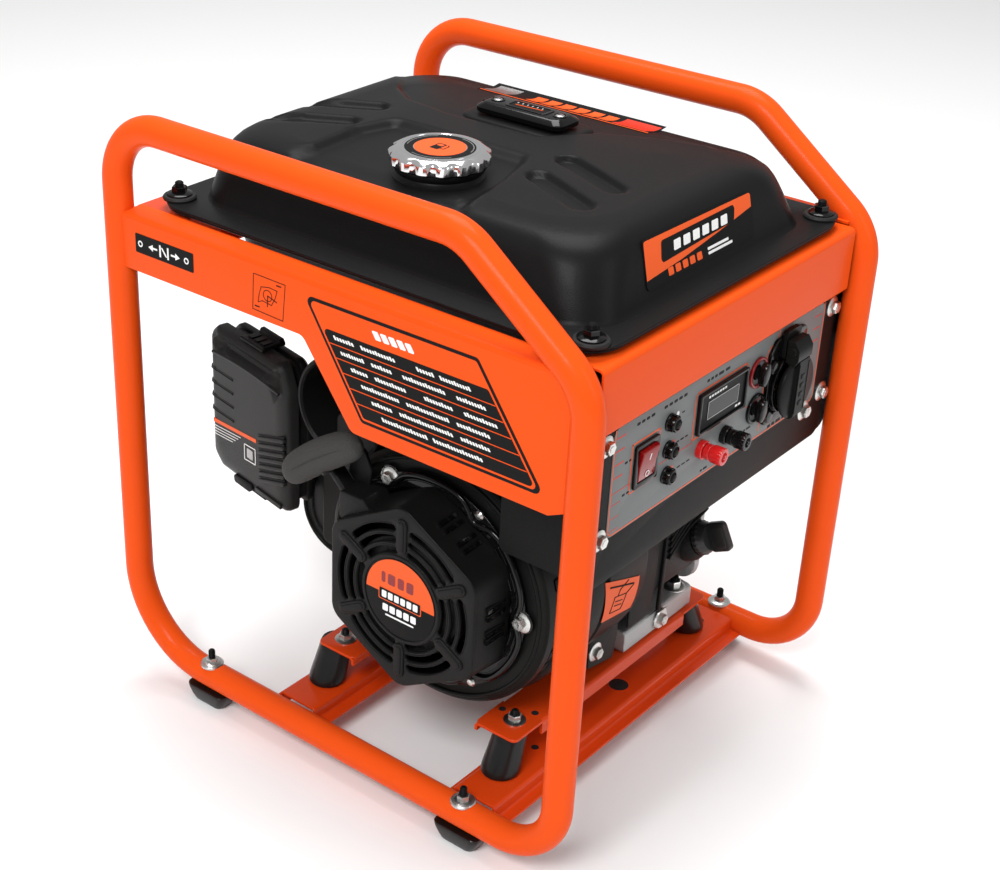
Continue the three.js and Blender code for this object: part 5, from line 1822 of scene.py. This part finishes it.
# ---------- engine block and its fittings ----------
def add_crankcase():
    case = Piece("crankcase_casting", tint="case_black", at=FRONT)
    case.add(flat([rect(-21, 135, 100, 240, 14)], -108.6, -3.4, 1.2), at=NEAR)
    # Aluminium foot with a thick front edge.
    foot = rounded(
        [
            (-50, 68.5, 2), (134.6, 68.5, 2), (134.6, 86.6, 4), (112, 90, 6), (100, 104, 10),
            (-10, 104, 10), (-24, 90, 6), (-50, 86.6, 4)
        ],
        6
    )
    case.add(flat([foot], -109.6, -14.4, 1.4), "cast", NEAR)
    # Smooth face towards the control panel, with a raised strip, a step and a ribbed corner.
    case.add(
        flat(
            [rounded([(14, 92, 2), (46, 92, 4), (50, 150, 4), (50, 234, 3), (14, 234, 3)])], 134.4, 136.2,
            0.9
        )
    )
    case.add(
        flat(
            [rounded([(55, 88, 3), (59, 88, 2), (61, 150, 3), (61, 236, 1), (57, 236, 1), (57, 150, 3)])],
            134.4, 137.6, 0.9
        )
    )
    ribbed = rounded([(60, 133, 2), (84, 149, 12), (112, 157, 3), (112, 236, 4), (60, 236, 2)], 8)
    case.add(flat([ribbed], 134.4, 138, 1))
    for k in range(6):
        lift = 5.4 * k
        rib = [
            Vector((60, 135.5 + lift, 0)), Vector((72, 144 + lift, 0)), Vector((86, 152 + lift, 0)),
            Vector((112, 158.5 + lift, 0))
        ]
        case.add(tube([p + Vector((0, 0, 139)) for p in rib], 1.3, 8))
        case.add(tube([p + Vector((0, 0, 137)) for p in rib], 1.3, 8))
    leaning = at_filler(0)
    case.add(lathe([(0, -6), (18, -6), (17.4, 1), (15.4, 5), (14, 7.3), (0, 7.3)], 48), at=leaning)
    # Cylinder barrel with its cooling fins, tilted towards the rear.
    lean = CYLINDER_AT
    case.add(lathe([(0, 70), (46, 70), (46, 149), (38, 150.2), (0, 149.8)], 64), "cast", lean)
    for k in range(8):
        z = 80 + 8.4 * k
        case.add(flat([rect(-55 + 0.6 * k, 55 - 0.6 * k, -45, 45, 12, 8)], z, z + 3, 1), "cast", lean)
    case.build(["crankcase"], bevel=0.5, smooth=38)
    fittings = Piece("block_fittings", tint="zinc")
    bolt(fittings, at_up(126, 96, 87.4), 6.2, True, 4)
    fittings.add(lathe([(0, -2), (7.2, -2), (7.6, 1.5), (6.4, 4), (0, 5)], 28), at=at_up(114, 104, 88))
    fittings.add(lathe([(0, 0), (9, 0), (9, 1.4), (7.8, 2.4), (0, 2.4)], 40), at=at_front(134.7, 62.5, 78))
    bolt(fittings, at_front(137, 62.5, 78), 5, False)
    fittings.build()
    lug = Piece("shroud_foot", tint="plastic")
    lug.add(
        flat([rounded([(-34, 78, 4), (0, 72, 3), (4, 92, 3), (4, 106, 3), (-34, 112, 4)])], 128, 133.6, 1),
        at=FRONT
    )
    bolt(lug, at_front(133.4, -26, 91), 5.2)
    lug.build()


def at_filler(along_axis):
    """Frame of the oil filler: local Z points along its axis, up and out of the crankcase."""
    tilt = math.radians(26)
    out = Vector((math.cos(tilt), 0, math.sin(tilt)))
    return place(
        Vector((135, 101, 134)) + out * along_axis, (0, 1, 0), (-math.sin(tilt), 0, math.cos(tilt))
    )


def cylinder_matrix():
    axis = Vector((-0.906, 0, 0.423)).normalized()
    side = Vector((0.423, 0, 0.906)).normalized()
    return place((57, 55, 172), side, axis.cross(side))


CYLINDER_AT = cylinder_matrix()


def add_cover():
    cover = Piece("crankcase_lid", tint="cast", at=FAR)
    outline = rect(-21, 135, 88, 240, 16, 10)
    cover.add(flat([outline], 110.4, 117, 1.2))
    cover.add(flat([rect(-13, 127, 96, 232, 12, 10), rect(-9, 123, 100, 228, 9, 10)], 116.6, 119, 0.8))
    for x, z, r, top in ((57, 172, 28, 124.2), (57, 126, 14, 120.2)):
        cover.add(
            lathe(
                [
                    (0, 116), (r + 4, 116), (r + 1, 118.4), (r, top - 1.2), (r - 1.6, top), (r * 0.5, top),
                    (r * 0.45, top - 1.4), (0, top - 1.4)
                ],
                56
            ),
            at=at_far(x, z)
        )
    for k in range(8):
        x0, y0 = polar(31, 22.5 + 45 * k)
        x1, y1 = polar(56, 22.5 + 45 * k)
        cover.add(flat([capsule(57 + x0, 172 + y0, 57 + x1, 172 + y1, 4)], 116, 119.6, 1))
    for x, z in ((-12, 97), (-12, 231), (126, 97), (126, 231), (57, 94), (57, 234), (-15, 164), (129, 164)):
        cover.add(lathe([(0, 116), (6.6, 116), (6.2, 119.4), (0, 119.4)], 28), at=at_far(x, z))
        bolt(cover, at_far(x, z) @ at_up(0, 0, 119.2), 3.8)
    cover.build(["crankcase_cover"], smooth=38)


def add_head():
    head = Piece("cylinder_head_casting", tint="cast")
    lean = CYLINDER_AT
    head.add(flat([rect(-44, 44, -42, 42, 8, 6)], 150.4, 189.8, 0.8), at=lean)
    for k in range(6):
        z = 154 + 6 * k
        head.add(flat([rect(-55, 55, -46, 46, 9, 6)], z, z + 2.4, 0.8), at=lean)
    for x in (-36, 36):
        for y in (-34, 34):
            head.add(lathe([(0, 150.6), (8, 150.6), (8, 189), (0, 189)], 28), at=lean @ at_up(x, y, 0))
    head.build(["cylinder_head"], smooth=38)
    rocker = Piece("rocker_box", tint="box_black")
    shape = [
        (42, 40, 190.4, 12), (42, 40, 193.4, 12), (38.6, 36.6, 194, 12), (38, 36, 196, 12),
        (37, 35, 207, 11), (35.4, 33.4, 210.6, 10), (31, 29, 212.8, 8)
    ]
    rocker.add(
        loft([level(rect(-half, half, -deep, deep - 16, r, 8), z) for half, deep, z, r in shape]), at=lean
    )
    rocker.add(flat([rect(-24, 24, -22, 6, 6)], 212.2, 212.9, 0.3), at=lean)
    for x in (-36.5, 36.5):
        for y in (-34, 18):
            bolt(rocker, lean @ at_up(x, y, 193), 3.6)
    rocker.build(["rocker_cover"], smooth=38)
    plug = Piece("plug_boot", tint="rubber")
    plug.add(
        lathe(
            [
                (0, 190.4), (8.4, 190.4), (8.5, 192), (7.6, 194), (7.6, 212), (8.2, 213), (8.2, 218),
                (7, 221), (4.4, 222.4), (4, 228), (0, 228)
            ],
            36
        ),
        at=lean @ at_up(-14, 34, 0)
    )
    plug.build(["spark_plug"], smooth=38)


def add_carburetor():
    carb = Piece("carburetor_body", tint="cast")
    carb.add(flat([rect(-113.6, -80.4, 229, 261.6, 6)], -8, 29.6, 1), at=NEAR)
    carb.add(
        lathe(
            [(0, 202.2), (13, 202.2), (16, 204), (16.8, 206), (16.8, 226), (15.4, 229.4), (0, 229.4)], 48
        ),
        at=at_up(-97, -11, 0)
    )
    carb.add(lathe([(0, 200.6), (4.4, 200.6), (4.4, 202.6), (0, 202.6)], 6), "zinc", at_up(-97, -11, 0))
    pipe = [(11, 28), (16, 28), (16, 50), (15, 53.6), (11, 53.6)]
    carb.add(hollow(pipe, 36), at=at_near(-97, 0, 244))
    for x, z in ((-108, 256), (-86, 256)):
        bolt(carb, at_near(x, -29.4, z), 3.2, False)
    carb.add(
        lathe([(0, 261), (5, 261), (5, 268), (2, 269), (2, 274), (0, 274)], 24), "zinc", at_up(-90, -6, 0)
    )
    carb.build(["carburetor"], smooth=38)
    lever = Piece("choke_arm", "choke_lever", "plastic", FRONT)
    lever.add(
        lathe([(0, 0), (4.8, 0), (4.8, 9.4), (4, 9.8), (0, 9.8)], 28),
        at=place((-124, -22, 255), (0, 1, 0), (0, 0, 1))
    )
    lever.add(
        flat([rounded([(-26, 254, 3), (-18, 254, 3), (-19, 292, 3), (-25, 292, 3)])], -122, -118.2, 0.8)
    )
    lever.add(flat([ring(-22, 286, 2.4, 20)], -118.3, -117.6, 0.2), "ink_red")
    lever.build(["choke_lever"], smooth=38)


def add_muffler():
    can = Piece("muffler_shell", tint="steel")
    shape = [
        (4, 119.2, 24), (0.8, 120.4, 26), (0, 122, 26), (0, 138.6, 26), (-1.4, 139.4, 27), (-1.4, 141, 27),
        (0, 141.8, 26), (0, 158, 26), (0.8, 159.8, 26), (4, 160.8, 24)
    ]
    rings = []
    for inset, y, r in shape:
        rings.append(
            [
                Vector((p.x, y, p.y))
                for p in rect(-134.6 + inset, 34.6 - inset, 222.4 + inset, 317.6 - inset, r, 10)
            ]
        )
    can.add(loft(rings))
    # Perforated heat shield with rows of slotted holes.
    holes = []
    for i in range(6):
        for j in range(4):
            x = -112 + 24 * i
            z = 240 + 20 * j
            holes.append(capsule(x - 6, z, x + 6, z, 5))
    can.add(flat([rect(-130, 30, 227, 313, 22, 8), *holes], 162.4, 164, 0.4), "box_black", FAR)
    for x, z in ((-122, 236), (22, 236), (-122, 304), (22, 304)):
        can.add(lathe([(0, 160), (4, 160), (4, 163), (0, 163)], 24), "zinc", at_far(x, z))
        bolt(can, at_far(x, z) @ at_up(0, 0, 163.6), 3.2)
    outlet = [(6.9, 32), (9, 32), (9, 51.8), (7, 51.8)]
    can.add(hollow(outlet, 36), at=at_front(0, 140, 296))
    can.add(flat([rect(127, 153, 283, 309, 4), ring(140, 296, 9.4, 36)], 34.6, 36.6, 0.5), at=FRONT)
    can.add(lathe([(0, 101.8), (12.8, 101.8), (12.8, 121), (0, 121)], 36), at=at_far(-97, 244))
    can.build(["muffler"], smooth=38)


def add_oil_cap():
    oil = Piece("oil_plug", "oil_filler_cap", "cap_grey")
    spot = at_filler(0)
    # Radius, depth of the twenty flutes, height.
    body = (
        (12.8, 0, 7.9), (13.8, 0.45, 8.6), (13.8, 0.45, 12), (12.6, 0, 13.2), (11.6, 0, 16.4),
        (10.6, 0, 17.8)
    )
    oil.add(turned(body, 120, lambda part, a: part[0] - (part[1] if math.cos(20 * a) > 0 else 0)), at=spot)
    # Flat wing that runs along the axis.
    side = spot @ place((0, 0, 0), (0, 0, 1), (0, 1, 0))
    wing = rounded([(13, -9), (19, -12.2, 4), (34.6, -12.2, 4), (34.6, 12.2, 4), (20, 12.2, 5), (13, 9)], 8)
    oil.add(flat([wing], -2.9, 2.9, 1.2), at=side)
    oil.add(
        flat([rounded([(20, -9, 3), (31.6, -9.2, 3), (31.6, 9.2, 3), (21, 9, 3)])], 2.4, 3.3, 0.4), at=side
    )
    oil.build(["oil_filler_cap"], smooth=38)


def add_inverter():
    low, high = box_mm("inverter_module")
    module = Piece("inverter_case", tint="cast")
    module.add(flat([rect(low.y, high.y, low.z, high.z - 12, 3)], low.x, high.x, 0.8), at=FRONT)
    count = 22
    for k in range(count):
        y = low.y + 4 + (high.y - low.y - 8) * k / (count - 1)
        module.add(block(low.x + 1, high.x - 1, y - 1, y + 1, high.z - 13, high.z))
    module.build(["inverter_module"], bevel=0.2)


def add_tank_floor():
    floor = Piece("tank_pan", tint="tank")
    shape = [
        (20, 366, 20), (15, 366.2, 24), (10, 367.6, 26), (6, 370.6, 28), (3.6, 374.6, 30), (2, 385, 30),
        (0.6, 399, 30)
    ]
    rings = [level(rect(-150 + k, 146 - k, -128 + k, 128 - k, r, 10), z) for k, z, r in shape]
    floor.add(loft(rings))
    floor.add(flat([rect(-152, 153, -134, 134, 32, 10)], 399.7, 401.6, 0.6))
    for y in (-80, -40, 0, 40, 80):
        floor.add(flat([capsule(-110, y, 106, y, 12, 10)], 365.2, 367, 0.8))
    floor.build(["tank_floor"], smooth=38)
    valve = Piece("valve_body", tint="zinc")
    valve.add(flat([rect(-131.6, -108.4, 338.2, 351.8, 3)], 90.2, 111.8, 1), "cast", NEAR)
    valve.add(
        lathe(
            [(0, 351), (7, 351), (7, 354), (10, 354.4), (10, 361), (7, 361.4), (7, 365.6), (0, 365.6)], 6
        ),
        at=at_up(-120, -101, 0)
    )
    valve.add(
        lathe(
            [
                (0, 324), (2.6, 324), (3.4, 325.4), (2.8, 327), (3.4, 328.6), (2.8, 330), (3.6, 332),
                (3.6, 339), (0, 339)
            ],
            24
        ),
        at=at_up(-120, -101, 0)
    )
    valve.build(["fuel_valve"], smooth=38)
    end = box_mm("fuel_valve_lever")[0].x
    lever = Piece("valve_handle", "fuel_valve_lever", "red", NEAR)
    lever.add(
        lathe([(0, 112.2), (6.8, 112.2), (6.8, 118), (5.6, 119), (0, 119)], 36), at=at_near(-120, 0, 345)
    )
    lever.add(
        flat(
            [
                rounded(
                    [(end + 0.4, 341.4, 3.4), (-116, 340.6, 3), (-116, 349.4, 3), (end + 0.4, 348.6, 3.4)]
                )
            ],
            115.2, 118.8, 0.9
        )
    )
    for k in range(4):
        lever.add(flat([rect(end + 3 + 2.4 * k, end + 4 + 2.4 * k, 342.6, 347.4, 0.4)], 118.6, 119.2, 0.2))
    lever.build(["fuel_valve_lever"], smooth=38)


# ---------- base members, mounts and feet ----------
def add_base():
    for end, x0, x1 in (("front", 109.6, 147.0), ("rear", -64.0, -27.0)):
        # Members and their hole rims take the darker orange: painted shade under the machine.
        member = Piece(f"member_{end}_sheet", tint="orange_shaded")
        top = 33.0
        low = 19.5
        sheet = 2.4
        outer = [
            (x0 - 9, low), (x0 + sheet, low), (x0 + sheet, top - sheet), (x1 - sheet, top - sheet),
            (x1 - sheet, low), (x1 + 9, low)
        ]
        upper = [
            (x1 + 9, low + sheet), (x1, low + sheet, 2), (x1, top, 3), (x0, top, 3), (x0, low + sheet, 2),
            (x0 - 9, low + sheet)
        ]
        member.add(extrude_y(rounded([*outer, *upper], 5), -162.7, 162.7))
        member.build([f"cross_member_{end}"], bevel=0.8, smooth=38)
        # Dark discs in the holes are painted shade; their rims are raised rings.
        spots = Piece(f"member_{end}_holes", tint="hole_shade")
        holes = (
            (129, 20.6, 7.8), (128.5, 141.7, 3.2), (127, -87.3, 3)
        ) if end == "front" else ((-46, 20, 7.8), (-40, 141, 3.2), (-46, -87, 3))
        for x, y, r in holes:
            spots.add(flat([ring(x, y, r, 40)], top - 0.2, top + 0.12))
            spots.add(
                flat([ring(x, y, r + 1.1, 40), ring(x, y, r, 40)], top - 0.2, top + 0.3, 0.12),
                "orange_shaded"
            )
        spots.build()
    for end, x0, x1 in (("front", 101.0, 138.0), ("rear", -54.0, -17.0)):
        # Bearers take the darker copy of the orange as painted shade under the machine.
        bearer = Piece(f"bearer_{end}_sheet", tint="orange_shaded")
        top = 68.0
        sheet = 2.4
        section = rounded([
            (x0, top, 3.4), (x0, top - 12), (x0 + sheet, top - 12), (x0 + sheet, top - sheet, 1),
            (x1 - sheet, top - sheet, 1),
            (x1 - sheet, top - 12), (x1, top - 12), (x1, top, 3.4),
        ], 5)
        bearer.add(extrude_y(section, -96, 96))
        lip = x0 if end == "front" else x1
        turn = 1 if end == "front" else -1
        for sign in (-1, 1):
            tab = rounded(
                [(x0, sign * 95.6), (x1, sign * 95.6), (x1, sign * 129.8, 5), (x0, sign * 129.8, 5)], 6
            )
            bearer.add(flat([tab], top - sheet, top, 0.5))
            curl = []
            for k in range(9):
                a = math.pi / 2 * k / 8
                curl.append((lip + turn * (4 - 4 * math.cos(a)), top - 4 + 4 * math.sin(a)))
            inner = [
                (x + turn * sheet * (lip + turn * 4 - x) * turn / 4, z - sheet * (z - top + 4) / 4)
                for x, z in curl
            ]
            loop = [(lip, top - 7)] + curl + inner[::-1] + [(lip + turn * sheet, top - 7)]
            bearer.add(extrude_y(loop, sign * 95, sign * 129.6))
            for x, y in ((107, 104), (128, 92)) if end == "front" else ((-48, 104), (-24, 100)):
                # Dark discs in the holes are painted shade.
                bearer.add(flat([ring(x, sign * y, 2.8, 28)], top - 0.3, top + 0.1), "hole_shade")
        bearer.build([f"bearer_{end}"], bevel=0.7, smooth=38)


def add_mounts():
    for end, x in (("front", 124.0), ("rear", -47.0)):
        for side, sign in SIDES:
            mount = Piece(f"mount_rubber_{end}_{side}", tint="mount_rubber")
            rings = []
            for t, r in (
                (0, 12.6), (0.04, 14.2), (0.1, 14.6), (0.2, 14.5), (0.5, 13.6), (0.8, 12.8), (0.94, 12.6),
                (1, 12)
            ):
                y = sign * (127 - 12 * t)
                z = 33.4 + 31.8 * t
                rings.append(
                    [
                        Vector((x + r * math.cos(TAU * k / 40), y + r * math.sin(TAU * k / 40), z))
                        for k in range(40)
                    ]
                )
            mount.add(loft(rings))
            mount.build([f"rubber_mount_{end}_{side}"], smooth=38)
    nuts = Piece("mount_nuts")
    for x, y in ((122, -109), (-39, -114), (122, 109), (-39, 114)):
        bolt(nuts, at_up(x, y, 68), 5.6, True, 4)
    nuts.build()


FOOT_X = 127.0


def add_feet():
    for end, x in (("front", FOOT_X), ("rear", -FOOT_X)):
        for side, sign in SIDES:
            foot = Piece(f"foot_rubber_{end}_{side}", tint="mount_rubber")
            shape = [
                (14.4, 0, 5), (15.2, 0.6, 6), (17.6, 5, 6), (19.4, 9.6, 6), (20, 12, 6), (20, 13.4, 6),
                (19.4, 13.9, 6)
            ]
            rings = [
                level(
                    rect(
                        x - h, x + h, sign * HOOP_Y - h * 0.55, sign * HOOP_Y + h * 0.55, min(r, h * 0.5), 8
                    ),
                    z
                )
                for h, z, r in shape
            ]
            foot.add(loft(rings))
            foot.build([f"foot_{end}_{side}"], smooth=38)
    studs = Piece("foot_bolts", tint="zinc")
    top_of_tube = 36.0
    for y in (-HOOP_Y, HOOP_Y):
        for x in (FOOT_X, -FOOT_X):
            spot = at_up(x, y, top_of_tube)
            studs.add(lathe([(0, -1.4), (9.4, -1.4), (9.4, 0), (8.4, 0.8), (0, 0.8)], 32), at=spot)
            bolt(studs, spot, 5.2, True, 7)
    studs.build()


add_crankcase()
add_cover()
add_head()
add_carburetor()
add_muffler()
add_oil_cap()
add_inverter()
add_tank_floor()
add_base()
add_mounts()
add_feet()


# ---------- end of the pieces ----------
def dress_cad_nodes():
    """Gives every CAD node that still shows a finish that suits its material slot."""
    by_slot = {
        "orange_paint": "orange", "rubber": "rubber", "tank_paint": "tank", "polished_cap": "polished",
        "gloss_plastic": "gloss", "cast_aluminium": "cast", "red_plastic": "red", "box_paint": "box_black",
        "panel_face": "grey", "black_plastic": "plastic", "steel": "steel", "copper_windings": "copper",
        "foam": "foam",
    }
    slots = {part["node"]: part["material_slot"] for part in frame["record"]["subparts"]}
    for name, node in frame["nodes"].items():
        node.data.materials.clear()
        node.data.materials.append(FINISH[by_slot[slots[name]]])


dress_cad_nodes()
